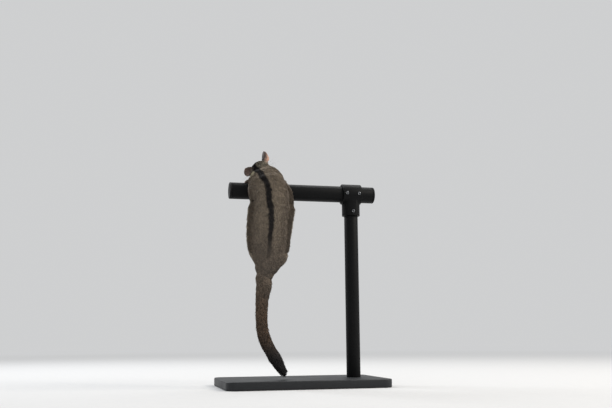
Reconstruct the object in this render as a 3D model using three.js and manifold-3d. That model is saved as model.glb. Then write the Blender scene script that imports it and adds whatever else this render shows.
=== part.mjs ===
// A life-size sugar glider that hauls itself up over a round bar, its back to the viewer and its
// tail hanging, on a plain stand. Millimetres, +Z up. The origin is on the floor under the middle
// of the base. The bar runs along X, the glider's back faces -Y and it looks over the bar to +Y.
// The outside of each piece of the body is the outside of the coat.
import * as THREE from "three";
import { LoftGeometry } from "three/addons/geometries/LoftGeometry.js";
import { mergeVertices } from "three/addons/utils/BufferGeometryUtils.js";
import Module from "manifold-3d";

const wasm = await Module();
wasm.setup();

// Driving dimensions of the stand.
const BASE_LENGTH = 240;
const BASE_WIDTH = 150;
const BASE_THICKNESS = 12;
const BASE_CORNER = 14;
const BASE_EDGE = 1.5;
const BAR_RADIUS = 12.5;
const BAR_LENGTH = 220;
const BAR_MIDDLE_X = 5;
const BAR_HEIGHT = 290;
const CAP_THICKNESS = 3;
const ROD_RADIUS = 10.5;
const ROD_X = 82;
const COLLAR_WALL = 3;
const COLLAR_LENGTH = 30;
const COLLAR_DROP = 34;

// Driving dimensions of the glider.
const GLIDER_X = -45;
const TRUNK_LENGTH = 139;
const TRUNK_HALF_WIDTH = 26;
const TRUNK_HALF_DEPTH = 22;
const TAIL_LENGTH = 154;
const TAIL_RADIUS = 10;
const TAIL_PARTS = 4;
const HEAD_LENGTH = 41.5;
const HEAD_HALF_WIDTH = 16.8;
const HEAD_HALF_HEIGHT = 13.8;
const HEAD_ROLL = 0.68;
const HEAD_PITCH = 0.2;
const HEAD_TURN = 0.14;
const EYE_RADIUS = 5;
const LID_WALL = 0.75;
const EAR_LENGTH = 19;
const EAR_HALF_WIDTH = 6.8;
const EAR_WALL = 1.1;
const UPPER_ARM_RADIUS = 7.8;
const FOREARM_RADIUS = 5.2;
const WRIST_RADIUS = 3.6;
const FINGER_RADIUS = 1.6;
const CLAW_LENGTH = 3.2;
const CLAW_RADII = [0.75, 0.6, 0.28];
const THIGH_RADIUS = 12.5;
const SHANK_RADIUS = 6.6;
const ANKLE_RADIUS = 3.6;
const FOOT_LENGTH = 15;
const TOE_RADIUS = 1.6;
const MEMBRANE_HALF_WIDTH = 7;
const MEMBRANE_HALF_THICKNESS = 2;
const GAP = 0.3;
const MERGE = 1e-3;

const TURN = Math.PI * 2;
const LEFT = -1;
const RIGHT = 1;

// The glider's own zero is on the bar's axis, over the middle of its back.
const GRIP = new THREE.Vector3(GLIDER_X, 0, BAR_HEIGHT);
const AWAY = new THREE.Vector3(0, 1, 0);
const BEHIND = new THREE.Vector3(0, -1, 0);
const UP = new THREE.Vector3(0, 0, 1);
const ACROSS = new THREE.Vector3(1, 0, 0);

const point = (x, y, z) => new THREE.Vector3(x, y, z).add(GRIP);
const lerp = THREE.MathUtils.lerp;
const radians = THREE.MathUtils.degToRad;

// A closed three.js geometry as a solid, with its faces pointing out.
function solidOf(geometry) {
  const bare = new THREE.BufferGeometry().setIndex(geometry.index);
  bare.setAttribute("position", geometry.attributes.position);
  const merged = mergeVertices(bare, MERGE);
  const index = merged.index.array;
  const corners = [];
  for (let i = 0; i < index.length; i += 3) {
    const [a, b, c] = [index[i], index[i + 1], index[i + 2]];
    if (a !== b && b !== c && c !== a) corners.push(a, b, c);
  }
  const build = (triVerts) =>
    new wasm.Manifold(
      new wasm.Mesh({
        numProp: 3,
        vertProperties: merged.attributes.position.array,
        triVerts: new Uint32Array(triVerts),
      }),
    );
  const made = build(corners);
  return made.volume() < 0 ? build(corners.reverse()) : made;
}

function geometryOf(solid) {
  const mesh = solid.getMesh();
  const positions = new Float32Array(mesh.numVert * 3);
  for (let i = 0; i < mesh.numVert; i++) {
    const start = i * mesh.numProp;
    positions.set(mesh.vertProperties.subarray(start, start + 3), i * 3);
  }
  const geometry = new THREE.BufferGeometry();
  geometry.setAttribute("position", new THREE.BufferAttribute(positions, 3));
  geometry.setIndex(new THREE.BufferAttribute(mesh.triVerts, 1));
  geometry.computeVertexNormals();
  return geometry;
}

const join = (solids) => solids.reduce((whole, piece) => whole.add(piece));

// The largest closed body of a solid, before and after its vertices are rounded and merged.
function largest(solid) {
  const pick = (whole) => whole.decompose().reduce((a, b) => (b.volume() > a.volume() ? b : a));
  return pick(solidOf(geometryOf(pick(solid))));
}

// A bent body with oval sections. Each station has its middle, its half width, how far it reaches
// to the back and to the belly, and the direction of its back.
class OvalBody {
  constructor(stations) {
    const curve = (pick) => new THREE.CatmullRomCurve3(stations.map(pick));
    this.line = curve((s) => s.at);
    this.sizes = curve((s) => new THREE.Vector3(s.half, s.back, s.belly ?? s.back));
    this.backs = curve((s) => s.towards ?? BEHIND);
  }

  frame(t) {
    const along = this.line.getTangent(t);
    const side = new THREE.Vector3().crossVectors(along, this.backs.getPoint(t)).normalize();
    const back = new THREE.Vector3().crossVectors(side, along).normalize();
    return { middle: this.line.getPoint(t), along, side, back };
  }

  // The surface at a share of the length and an angle from the side towards the back.
  surface(t, angle, lift = 0, shrink = 1) {
    const { middle, side, back } = this.frame(t);
    const size = this.sizes.getPoint(t);
    const reach = Math.sin(angle) > 0 ? size.y : size.z;
    return middle
      .addScaledVector(side, Math.cos(angle) * (size.x * shrink + lift))
      .addScaledVector(back, Math.sin(angle) * (reach * shrink + lift));
  }

  // The rings between two shares of the length, with a rounded cap at either end where asked.
  rings({ count, sides, grow = 0, from = 0, to = 1, startCap = 0, endCap = 0, fine, shape }) {
    const ring = (t, shrink, shift) => {
      const along = this.frame(t).along.multiplyScalar(shift);
      return Array.from({ length: sides }, (_, i) => {
        const p = this.surface(t, (-i / sides) * TURN, grow * Math.max(shrink, 0.3), shrink);
        p.add(along);
        return shape ? shape(p) : p;
      });
    };
    const steps = fine ? [1.35, 1.05, 0.7, 0.35] : [1.15, 0.6];
    const cap = (t, reach, sign) =>
      steps.map((a) => ring(t, Math.cos(a), sign * (reach + grow) * Math.sin(a)));
    const made = startCap ? cap(from, startCap, -1) : [];
    for (let i = 0; i <= count; i++) made.push(ring(lerp(from, to, i / count), 1, 0));
    if (endCap) made.push(...cap(to, endCap, 1).reverse());
    return made;
  }

  solid(options) {
    return solidOf(new LoftGeometry(this.rings(options), { capStart: true, capEnd: true }));
  }
}

// A round limb or digit through a few points, with a radius at each.
function limb(points, radii, { grow = 0, count = 8, sides = 12, towards = BEHIND, round = [1, 1] }) {
  const stations = points.map((at, i) => ({ at, half: radii[i], back: radii[i], towards }));
  const startCap = radii[0] * 0.9 * round[0];
  const endCap = radii[radii.length - 1] * 0.9 * round[1];
  return new OvalBody(stations).solid({ count, sides, grow, startCap, endCap });
}

function ball(centre, radius, detail) {
  const sphere = new THREE.SphereGeometry(radius, detail, Math.round(detail * 0.7));
  return solidOf(sphere.translate(centre.x, centre.y, centre.z));
}

function roundRod(radius, length, sides, turn, centre) {
  const rod = new THREE.CylinderGeometry(radius, radius, length, sides);
  rod.applyMatrix4(turn).translate(centre.x, centre.y, centre.z);
  return solidOf(rod);
}

const ALONG_X = new THREE.Matrix4().makeRotationZ(Math.PI / 2);
const ALONG_Z = new THREE.Matrix4().makeRotationX(Math.PI / 2);

// Trunk, from the rump up to the base of the neck. The glider leans its chest on the bar.
const trunkStation = (share, x, behind, wide, back, belly) => ({
  at: point(x, -behind, (share - 1) * TRUNK_LENGTH + 12),
  half: wide * TRUNK_HALF_WIDTH,
  back: back * TRUNK_HALF_DEPTH,
  belly: belly * TRUNK_HALF_DEPTH,
});

const TRUNK = new OvalBody([
  trunkStation(0, -12, 29, 0.5, 0.55, 0.55),
  trunkStation(0.09, -10.5, 30, 0.79, 0.78, 0.8),
  trunkStation(0.22, -9, 31.5, 0.95, 0.93, 0.98),
  trunkStation(0.4, -9, 34, 1.02, 1, 1.08),
  trunkStation(0.58, -7.5, 36, 1, 0.98, 1.02),
  trunkStation(0.75, -5, 36, 1.02, 0.94, 0.96),
  trunkStation(0.89, -6.8, 31, 1.04, 0.86, 0.82),
  trunkStation(1, -9.8, 22.5, 0.92, 0.76, 0.62),
]);

const trunk = (grow) =>
  TRUNK.solid({ count: 16, sides: 22, grow, startCap: 7, endCap: 8, fine: true });

// The head's own directions: forward to the nose, up through the crown, and to its right.
const forward = new THREE.Vector3(-Math.sin(HEAD_TURN), 1, -Math.sin(HEAD_PITCH)).normalize();
const upright = UP.clone().applyAxisAngle(AWAY, -HEAD_ROLL);
const rightward = new THREE.Vector3().crossVectors(forward, upright).normalize();
const crown = new THREE.Vector3().crossVectors(rightward, forward).normalize();
const HEAD_MIDDLE = point(-15, 7, 33);

const inHead = (f, r, u) =>
  HEAD_MIDDLE.clone()
    .addScaledVector(forward, f)
    .addScaledVector(rightward, r)
    .addScaledVector(crown, u);

const headStation = (share, drop, wide, high, low) => ({
  at: inHead((share - 0.42) * HEAD_LENGTH, 0, -drop),
  half: wide * HEAD_HALF_WIDTH,
  back: high * HEAD_HALF_HEIGHT,
  belly: low * HEAD_HALF_HEIGHT,
  towards: crown,
});

const HEAD = new OvalBody([
  headStation(0.05, 0, 0.62, 0.66, 0.58),
  headStation(0.16, 0, 0.87, 0.92, 0.8),
  headStation(0.31, 0, 1.01, 1.05, 0.92),
  headStation(0.47, 0, 1.03, 1, 0.94),
  headStation(0.6, 0.6, 0.92, 0.86, 0.86),
  headStation(0.72, 1.9, 0.7, 0.67, 0.72),
  headStation(0.83, 3.1, 0.51, 0.5, 0.56),
  headStation(0.93, 3.8, 0.38, 0.38, 0.42),
]);

// Shares of the head's length, and angles round it, of what sits on it.
const EYE_SHARE = 0.59;
const EYE_ANGLE = radians(31);
const EYE_SINK = 0.78;
const EAR_SHARE = 0.24;
const EAR_ANGLE = radians(38);
const MOUTH_ANGLES = [-86, -44];
const MOUTH_SHARES = [0.985, 0.66];
const LIP_RADIUS = 1;
const NOSE = { f: 22.5, u: -2.3, half: [3.5, 2.2, 2.7] };

// The angle on either side of the head: the right side counts from the side vector.
const headAngle = (side, angle) => (side === RIGHT ? angle : Math.PI - angle);

const eyeCentres = Object.fromEntries(
  [LEFT, RIGHT].map((side) => {
    const angle = headAngle(side, EYE_ANGLE);
    const skin = HEAD.surface(EYE_SHARE, angle);
    const middle = HEAD.frame(EYE_SHARE).middle;
    const out = skin.clone().sub(middle).normalize().addScaledVector(forward, 0.3).normalize();
    return [side, { at: skin.addScaledVector(out, -EYE_RADIUS * EYE_SINK), out }];
  }),
);

const eye = (side) => (grow) => ball(eyeCentres[side].at, EYE_RADIUS + grow, 14);

// Rotates a geometry made along +Y so that it points along a direction, and moves it.
function aim(geometry, direction, at) {
  const turn = new THREE.Quaternion().setFromUnitVectors(AWAY, direction);
  return geometry.applyQuaternion(turn).translate(at.x, at.y, at.z);
}

// The lids are a thin shell over the eye, with a round opening where it looks out.
const lid = (side, grow) => ball(eyeCentres[side].at, EYE_RADIUS + GAP + LID_WALL + grow, 13);

function lidOpening(side) {
  const { at, out } = eyeCentres[side];
  const hole = new THREE.CylinderGeometry(EYE_RADIUS * 1.02, EYE_RADIUS * 0.8, 8, 16);
  return solidOf(aim(hole, out, at.clone().addScaledVector(out, 5.6)));
}

// The line of the mouth runs from under the nose back to below the eye.
function mouthLine(side, lift, radius) {
  const steps = 6;
  const path = Array.from({ length: steps + 1 }, (_, i) => {
    const along = i / steps;
    const angle = headAngle(side, radians(lerp(...MOUTH_ANGLES, Math.sqrt(along))));
    return HEAD.surface(lerp(...MOUTH_SHARES, along), angle, lift);
  });
  return limb(path, path.map((_, i) => radius * lerp(1, 0.6, i / steps)), { count: 7, sides: 6 });
}

const lips = (side) => mouthLine(side, -0.45, LIP_RADIUS);
const mouthGroove = (side) => mouthLine(side, 0.55, LIP_RADIUS * 0.5);

function noseForm(grow) {
  const [wide, deep, high] = NOSE.half;
  const sphere = new THREE.SphereGeometry(1, 11, 7);
  sphere.scale(wide + grow, deep + grow, high + grow);
  const basis = new THREE.Matrix4().makeBasis(rightward, forward, crown);
  const at = inHead(NOSE.f, 0, NOSE.u);
  return solidOf(sphere.applyMatrix4(basis).translate(at.x, at.y, at.z));
}

function nose(grow) {
  if (grow) return noseForm(grow);
  const nostril = (side) => ball(inHead(NOSE.f + 1.7, side * 1.35, NOSE.u), 0.75, 7);
  return noseForm(0).subtract(nostril(LEFT)).subtract(nostril(RIGHT));
}

function head(grow) {
  const skull = HEAD.solid({ count: 14, sides: 24, grow, startCap: 4.5, endCap: 2.4, fine: true });
  if (grow) return join([skull, lid(LEFT, grow), lid(RIGHT, grow)]);
  const withLids = join([skull, lid(LEFT, 0), lid(RIGHT, 0), lips(LEFT), lips(RIGHT)]);
  const cuts = [lidOpening(LEFT), lidOpening(RIGHT), mouthGroove(LEFT), mouthGroove(RIGHT)];
  return cuts.reduce((whole, cut) => whole.subtract(cut), withLids);
}

const neckStation = (at, half, back, belly, towards) => ({
  at: point(...at),
  half,
  back,
  belly,
  ...(towards && { towards: new THREE.Vector3(...towards) }),
});

const NECK = new OvalBody([
  neckStation([-8.3, -27, 4], 27.3, 16, 15),
  neckStation([-10.6, -17, 15.5], 27.7, 15.5, 12.5, [-0.17, -0.75, 0.6]),
  neckStation([-11.4, -7, 25], 23.4, 14.2, 12, [-0.3, -0.5, 0.8]),
  neckStation([-13, 1.5, 31], 17.2, 12.8, 11, [-0.5, -0.2, 0.8]),
]);

const neck = (grow) => NECK.solid({ count: 5, sides: 18, grow });

// An ear is a thin cupped blade: crescent sections, rolled up at the root and open at the tip.
const EAR_AIM = {
  [LEFT]: {
    axis: new THREE.Vector3(-0.3, 0.93, -0.16),
    face: new THREE.Vector3(-0.85, -0.1, -0.45),
    curl: 2,
  },
  [RIGHT]: {
    axis: new THREE.Vector3(0.11, 0.56, 1),
    face: new THREE.Vector3(0.86, 0.5, 0),
    curl: -0.8,
  },
};

function ear(side) {
  const { face, curl } = EAR_AIM[side];
  const axis = EAR_AIM[side].axis.clone().normalize();
  const root = HEAD.surface(EAR_SHARE, headAngle(side, EAR_ANGLE));
  const open = face.clone().addScaledVector(axis, -face.dot(axis)).normalize();
  const wide = new THREE.Vector3().crossVectors(axis, open).normalize();
  const rows = 9;
  const steps = 6;
  const sections = [];
  for (let i = 0; i <= rows; i++) {
    const s = lerp(-0.16, 1, i / rows);
    const half = EAR_HALF_WIDTH * Math.sqrt(Math.max(0.004, (s + 0.32) * (1.015 - s) * 2.25));
    const spread = radians(lerp(118, 26, THREE.MathUtils.smoothstep(s, -0.1, 1.05)));
    const bend = half / Math.max(Math.sin(Math.min(spread, Math.PI / 2)), 0.3);
    const wall = Math.min(lerp(EAR_WALL * 1.3, EAR_WALL * 0.6, s), bend * 0.8);
    const backLine = root
      .clone()
      .addScaledVector(axis, s * EAR_LENGTH)
      .addScaledVector(open, lerp(-2.2, curl, s));
    const middle = backLine.addScaledVector(open, bend);
    const arc = (radius, from, to) =>
      Array.from({ length: steps + 1 }, (_, j) => {
        const a = lerp(from, to, j / steps);
        return middle
          .clone()
          .addScaledVector(open, -Math.cos(a) * radius)
          .addScaledVector(wide, Math.sin(a) * radius);
      });
    sections.push([...arc(bend, spread, -spread), ...arc(bend - wall, -spread, spread)]);
  }
  return solidOf(new LoftGeometry(sections, { capStart: true, capEnd: true }));
}

// A point round the bar: its place along it, the angle from the far side over the top, and how
// far out from the bar's skin it is.
const onBar = (x, degrees, out) => {
  const a = radians(degrees);
  return point(x, (BAR_RADIUS + out) * Math.cos(a), (BAR_RADIUS + out) * Math.sin(a));
};

const ARMS = {
  [LEFT]: {
    shoulder: point(-18.5, -27, -7),
    elbow: point(-29.5, -22.5, -21),
    middle: point(-33.5, -21, -3),
    handX: -31.5,
  },
  [RIGHT]: {
    shoulder: point(13, -27, -8),
    elbow: point(24.5, -22.5, -22),
    middle: point(24.5, -21, -4),
    handX: 18.5,
  },
};

const wristOf = (side) => onBar(ARMS[side].handX, 129, 5.2);

const upperArm = (side) => (grow) => {
  const { shoulder, elbow } = ARMS[side];
  const radii = [UPPER_ARM_RADIUS * 1.25, UPPER_ARM_RADIUS, FOREARM_RADIUS * 1.1];
  const middle = shoulder.clone().lerp(elbow, 0.5);
  return limb([shoulder, middle, elbow], radii, { grow, count: 4, sides: 14 });
};

const forearm = (side) => (grow) => {
  const { elbow, middle } = ARMS[side];
  const radii = [FOREARM_RADIUS * 1.05, FOREARM_RADIUS, WRIST_RADIUS];
  return limb([elbow, middle, wristOf(side)], radii, { grow, count: 7, sides: 12 });
};

// Each finger: how far it reaches over the bar, in degrees, and its place across the hand.
const FINGERS = [
  { reach: 52, across: -2 },
  { reach: 36, across: -1 },
  { reach: 27, across: 0 },
  { reach: 19, across: 1 },
  { reach: 33, across: 2 },
];

const hand = (side) => (grow) => {
  const { handX } = ARMS[side];
  const pieces = [];
  const palmX = handX + side * 0.6;
  const palm = new OvalBody([
    { at: onBar(handX, 124, 4.8), half: 3.4, back: 3, towards: UP },
    { at: onBar(palmX, 108, 3.4), half: 4.8, back: 2.9, towards: UP },
    { at: onBar(palmX, 92, 2.7), half: 5.4, back: 2.3, towards: UP },
  ]);
  pieces.push(palm.solid({ count: 3, sides: 10, grow, startCap: 2.5, endCap: 2.5 }));
  for (const { reach, across } of FINGERS) {
    const rootX = palmX + side * across * 2.1;
    const tipX = palmX + side * across * 4.1;
    const out = GAP * 1.3 + FINGER_RADIUS * 1.15;
    const path = [0, 0.35, 0.7, 1].map((s) =>
      onBar(lerp(rootX, tipX, s), lerp(98, reach, s), out + 0.5 * Math.sin(s * Math.PI)),
    );
    const radii = [FINGER_RADIUS * 1.15, FINGER_RADIUS, FINGER_RADIUS * 0.85, FINGER_RADIUS];
    const digit = { grow, count: 4, sides: 6, towards: ACROSS, round: [0, 1] };
    pieces.push(limb(path, radii, digit));
    const clawX = tipX + side * across * 0.2;
    const clawTurn = THREE.MathUtils.radToDeg(CLAW_LENGTH / (BAR_RADIUS + 3));
    const claw = [
      onBar(tipX, reach + 3, 2.6),
      onBar(clawX, reach - clawTurn * 0.6, 2.5),
      onBar(clawX, reach - clawTurn * 1.15, 0.75),
    ];
    pieces.push(limb(claw, CLAW_RADII, { ...digit, count: 2, sides: 5, round: [0, 0] }));
  }
  return join(pieces);
};

const LEGS = {
  [LEFT]: {
    hip: point(-20.5, -29, -102),
    knee: point(-27, -12, -83),
    ankle: point(-12, -6, -103),
    toes: new THREE.Vector3(0.1, 0.93, -0.3),
  },
  [RIGHT]: {
    hip: point(4.5, -29, -104),
    knee: point(12, -12, -86),
    ankle: point(4.5, -5, -106),
    toes: new THREE.Vector3(0.08, 0.95, -0.27),
  },
};

const thigh = (side) => (grow) => {
  const { hip, knee } = LEGS[side];
  const middle = hip.clone().lerp(knee, 0.5).add(new THREE.Vector3(side * 1.5, 0, 1));
  const radii = [THIGH_RADIUS * 1.05, THIGH_RADIUS * 0.95, SHANK_RADIUS * 1.15];
  return limb([hip, middle, knee], radii, { grow, count: 6, sides: 16 });
};

const shank = (side) => (grow) => {
  const { knee, ankle } = LEGS[side];
  const calf = knee.clone().lerp(ankle, 0.45).add(new THREE.Vector3(0, -1.5, 0));
  const radii = [SHANK_RADIUS * 1.1, SHANK_RADIUS, ANKLE_RADIUS];
  return limb([knee, calf, ankle], radii, { grow, count: 6, sides: 12 });
};

// The five hind toes: the first stands off inwards like a thumb and has no claw.
const TOES = [
  { spread: -1.15, length: 0.6, claw: false },
  { spread: -0.3, length: 0.72, claw: true },
  { spread: 0.02, length: 0.78, claw: true },
  { spread: 0.36, length: 0.98, claw: true },
  { spread: 0.7, length: 0.84, claw: true },
];

const foot = (side) => (grow) => {
  const { ankle, toes } = LEGS[side];
  const along = toes.clone().normalize();
  const out = ACROSS.clone().multiplyScalar(side);
  out.addScaledVector(along, -out.dot(along)).normalize();
  const top = new THREE.Vector3().crossVectors(out, along).multiplyScalar(side).normalize();
  const at = (f, across, drop) =>
    ankle
      .clone()
      .addScaledVector(along, f)
      .addScaledVector(out, across)
      .addScaledVector(top, -drop);
  const sole = new OvalBody([
    { at: at(-1.5, 0, -1), half: 3.4, back: 3.1, towards: top },
    { at: at(5, 0, 0.4), half: 4.2, back: 2.7, towards: top },
    { at: at(FOOT_LENGTH * 0.72, 0.3, 0.6), half: 4.8, back: 2.2, towards: top },
  ]);
  const pieces = [sole.solid({ count: 3, sides: 10, grow, startCap: 2.8, endCap: 2.2 })];
  for (const { spread, length, claw } of TOES) {
    const reach = length * FOOT_LENGTH * 0.8;
    const thumb = claw ? 0 : 1;
    const start = [lerp(FOOT_LENGTH * 0.62, 3.5, thumb), spread * 4, 0.5];
    const way = [Math.cos(spread * 0.8), Math.sin(spread * 0.8)];
    const step = (s, drop) => at(start[0] + way[0] * reach * s, start[1] + way[1] * reach * s, drop);
    const path = [step(0, 0.5), step(0.4, 0), step(0.75, 1.2), step(1, 3.4)];
    const radii = [1.2, 1, 0.88, 1.02].map((k) => k * TOE_RADIUS);
    const towards = out.clone().multiplyScalar(way[0]).addScaledVector(along, -way[1]);
    const digit = { grow, count: 3, sides: 6, towards, round: [0, 1] };
    pieces.push(limb(path, radii, digit));
    if (claw) {
      const nail = [step(0.98, 2.7), step(1.14, 4.2), step(1.1, 5.9)];
      pieces.push(limb(nail, CLAW_RADII, { ...digit, count: 2, sides: 5, round: [0, 0] }));
    }
  }
  return join(pieces);
};

// The gliding membrane lies gathered behind the arm and along the flank, from wrist to knee.
const MEMBRANE_WAVES = 6;
const FLANK_SHARES = [0.66, 0.54, 0.42, 0.31];
const FLANK_WIDTHS = [1, 0.95, 0.75, 0.55];
const FLANK_ANGLES = { [LEFT]: [175, 184], [RIGHT]: [5, -4] };

const membrane = (side) => (grow) => {
  const { elbow, middle } = ARMS[side];
  const { knee } = LEGS[side];
  const beside = (at, x, y, z) => at.clone().add(new THREE.Vector3(side * x, y, z));
  const [first, last] = FLANK_ANGLES[side];
  const flank = FLANK_SHARES.map((share, i) => {
    const angle = radians(lerp(first, last, i / (FLANK_SHARES.length - 1)));
    const wide = FLANK_WIDTHS[i];
    return { at: TRUNK.surface(share, angle, MEMBRANE_HALF_WIDTH * 0.2 * wide), wide };
  });
  const stations = [
    { at: beside(wristOf(side), 0, -5.5, -5), wide: 0.38 },
    { at: beside(middle, 0, -7, -2), wide: 0.55 },
    { at: beside(elbow, -0.5, -7.5, -1), wide: 0.8 },
    ...flank,
    { at: beside(knee, 0.5, -9.5, -3), wide: 0.5 },
  ].map(({ at, wide }) => ({ at, half: wide * MEMBRANE_HALF_WIDTH, back: MEMBRANE_HALF_THICKNESS }));
  const top = stations[0].at.z;
  const drop = top - stations[stations.length - 1].at.z;
  const gather = (p) => {
    const phase = ((top - p.z) / drop) * MEMBRANE_WAVES * TURN;
    const outer = THREE.MathUtils.smoothstep((p.x - GLIDER_X) * side, 24, 35);
    p.x += side * 0.5 * Math.sin(phase * 1.3) * outer;
    p.y += 1.5 * Math.sin(phase + 1.1) * outer;
    return p;
  };
  const caps = { startCap: 2, endCap: 3 };
  return new OvalBody(stations).solid({ count: 24, sides: 8, grow, ...caps, shape: gather });
};

// The tail hangs straight from the rump, then sweeps to the right near its end.
const tailStation = (share, x, behind, wide) => ({
  at: point(x, -behind, -(TRUNK_LENGTH - 14) - share * TAIL_LENGTH),
  half: wide * TAIL_RADIUS,
  back: wide * TAIL_RADIUS * 0.94,
});

const TAIL = new OvalBody([
  tailStation(-0.05, -12, 29.5, 1.33),
  tailStation(0.1, -15, 28, 1.24),
  tailStation(0.23, -17.3, 26.5, 1.04),
  tailStation(0.38, -18, 25.5, 0.94),
  tailStation(0.54, -16.6, 25, 0.94),
  tailStation(0.68, -9, 24.5, 0.98),
  tailStation(0.8, 2, 24, 0.95),
  tailStation(0.9, 11.5, 23.5, 0.74),
]);

const tailLength = (i) => (grow) => {
  const gapShare = GAP / TAIL_LENGTH / 2;
  const from = i === 0 ? 0 : i / TAIL_PARTS + gapShare;
  const to = i === TAIL_PARTS - 1 ? 1 : (i + 1) / TAIL_PARTS - gapShare;
  const endCap = i === TAIL_PARTS - 1 ? 7.5 : 0;
  return TAIL.solid({ count: 6, sides: 18, grow, from, to, endCap });
};

// The stand: base, rod, the collar that joins rod and bar, the bar and its end caps.
function roundedPlate(length, width, thickness, corner, edge) {
  const shape = new THREE.Shape();
  const [x, y] = [length / 2 - edge, width / 2 - edge];
  shape.moveTo(-x + corner, -y);
  shape.lineTo(x - corner, -y).absarc(x - corner, -y + corner, corner, -Math.PI / 2, 0);
  shape.lineTo(x, y - corner).absarc(x - corner, y - corner, corner, 0, Math.PI / 2);
  shape.lineTo(-x + corner, y).absarc(-x + corner, y - corner, corner, Math.PI / 2, Math.PI);
  shape.lineTo(-x, -y + corner).absarc(-x + corner, -y + corner, corner, Math.PI, Math.PI * 1.5);
  const plate = new THREE.ExtrudeGeometry(shape, {
    depth: thickness - 2 * edge,
    bevelEnabled: true,
    bevelThickness: edge,
    bevelSize: edge,
    bevelSegments: 1,
    curveSegments: 5,
  });
  return solidOf(plate.translate(0, 0, edge));
}

const base = () => roundedPlate(BASE_LENGTH, BASE_WIDTH, BASE_THICKNESS, BASE_CORNER, BASE_EDGE);

const barCentre = new THREE.Vector3(BAR_MIDDLE_X, 0, BAR_HEIGHT);
const bar = (grow) => roundRod(BAR_RADIUS + grow, BAR_LENGTH + 2 * grow, 40, ALONG_X, barCentre);

// Each end of the bar has a plain plug with a rounded rim.
const barCap = (side) => (grow) => {
  const profile = [
    [0, 0],
    [BAR_RADIUS + grow, 0],
    [BAR_RADIUS + grow, CAP_THICKNESS - 1],
    [BAR_RADIUS - 1, CAP_THICKNESS + grow],
    [0, CAP_THICKNESS + grow],
  ].map(([x, y]) => new THREE.Vector2(x, y));
  const cap = new THREE.LatheGeometry(profile, 32);
  const x = BAR_MIDDLE_X + side * (BAR_LENGTH / 2 + GAP);
  cap.applyMatrix4(new THREE.Matrix4().makeRotationZ((-side * Math.PI) / 2));
  return solidOf(cap.translate(x, 0, BAR_HEIGHT));
};

const rodTop = BAR_HEIGHT - BAR_RADIUS - 2;
const rod = (grow) => {
  const bottom = BASE_THICKNESS + GAP;
  const middle = new THREE.Vector3(ROD_X, 0, (bottom + rodTop) / 2);
  return roundRod(ROD_RADIUS + grow, rodTop - bottom + 2 * grow, 24, ALONG_Z, middle);
};

const collar = () => {
  const outer = BAR_RADIUS + GAP + COLLAR_WALL;
  const sleeveAt = new THREE.Vector3(ROD_X, 0, BAR_HEIGHT);
  const sleeve = roundRod(outer, COLLAR_LENGTH, 26, ALONG_X, sleeveAt);
  const socketRadius = ROD_RADIUS + GAP + COLLAR_WALL;
  const socketAt = new THREE.Vector3(ROD_X, 0, BAR_HEIGHT - COLLAR_DROP / 2);
  return sleeve.add(roundRod(socketRadius, COLLAR_DROP, 22, ALONG_Z, socketAt));
};

const MATERIALS = {
  coat: new THREE.MeshStandardMaterial({ color: 0x6b625a, roughness: 0.95 }),
  tail_coat: new THREE.MeshStandardMaterial({ color: 0x4b3e33, roughness: 0.95 }),
  membrane: new THREE.MeshStandardMaterial({ color: 0x58504a, roughness: 0.95 }),
  skin: new THREE.MeshStandardMaterial({ color: 0xc08f86, roughness: 0.6 }),
  eye: new THREE.MeshStandardMaterial({ color: 0x08080a, roughness: 0.08 }),
  stand: new THREE.MeshStandardMaterial({ color: 0x1c1d20, roughness: 0.45 }),
};

const glider = new THREE.Group();
glider.name = "sugar_glider";

// Nodes are added in order: each is cut back by the grown form of every node before it, so that
// neighbours meet face to face across the gap, and keeps its largest closed body.
const placed = [];
const boxesMeet = (a, b) =>
  [0, 1, 2].every((k) => a.min[k] <= b.max[k] && b.min[k] <= a.max[k]);

function addNode(name, make, material) {
  let solid = make(0);
  const box = solid.boundingBox();
  for (const other of placed)
    if (boxesMeet(box, other.boundingBox())) solid = solid.subtract(other);
  placed.push(make(GAP));
  const mesh = new THREE.Mesh(geometryOf(largest(solid)), MATERIALS[material]);
  mesh.name = name;
  glider.add(mesh);
}

addNode("perch_bar", bar, "stand");
addNode("stand_rod", rod, "stand");
addNode("stand_base", base, "stand");
addNode("stand_collar", collar, "stand");
addNode("eye_left", eye(LEFT), "eye");
addNode("eye_right", eye(RIGHT), "eye");
addNode("nose", nose, "skin");
addNode("torso", trunk, "coat");
addNode("head", head, "coat");
addNode("neck", neck, "coat");
for (let i = 0; i < TAIL_PARTS; i++) addNode(`tail_${i + 1}`, tailLength(i), "tail_coat");

for (const side of [LEFT, RIGHT]) {
  const word = side === LEFT ? "left" : "right";
  addNode(`perch_cap_${word}`, barCap(side), "stand");
  addNode(`ear_${word}`, () => ear(side), "skin");
  addNode(`upper_arm_${word}`, upperArm(side), "coat");
  addNode(`forearm_${word}`, forearm(side), "coat");
  addNode(`hand_${word}`, hand(side), "skin");
  addNode(`thigh_${word}`, thigh(side), "coat");
  addNode(`shank_${word}`, shank(side), "coat");
  addNode(`foot_${word}`, foot(side), "skin");
  addNode(`membrane_${word}`, membrane(side), "membrane");
}

export default glider;
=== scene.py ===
"""A life-size sugar glider that hauls itself over a round bar, on a plain stand.

The CAD solids give the glider's outline out to the tips of its coat. One skin lies inside them by
the coat's depth, tufts of fur stand on it, and eyes, lids, claws and whiskers are pieces of their own.
"""

import logging
import math
from collections.abc import Callable, Sequence
from dataclasses import dataclass, field
from enum import Enum

import bmesh
import bpy
import numpy as np
from mathutils import Matrix, Quaternion, Vector
from mathutils.bvhtree import BVHTree
from mathutils.kdtree import KDTree

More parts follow.
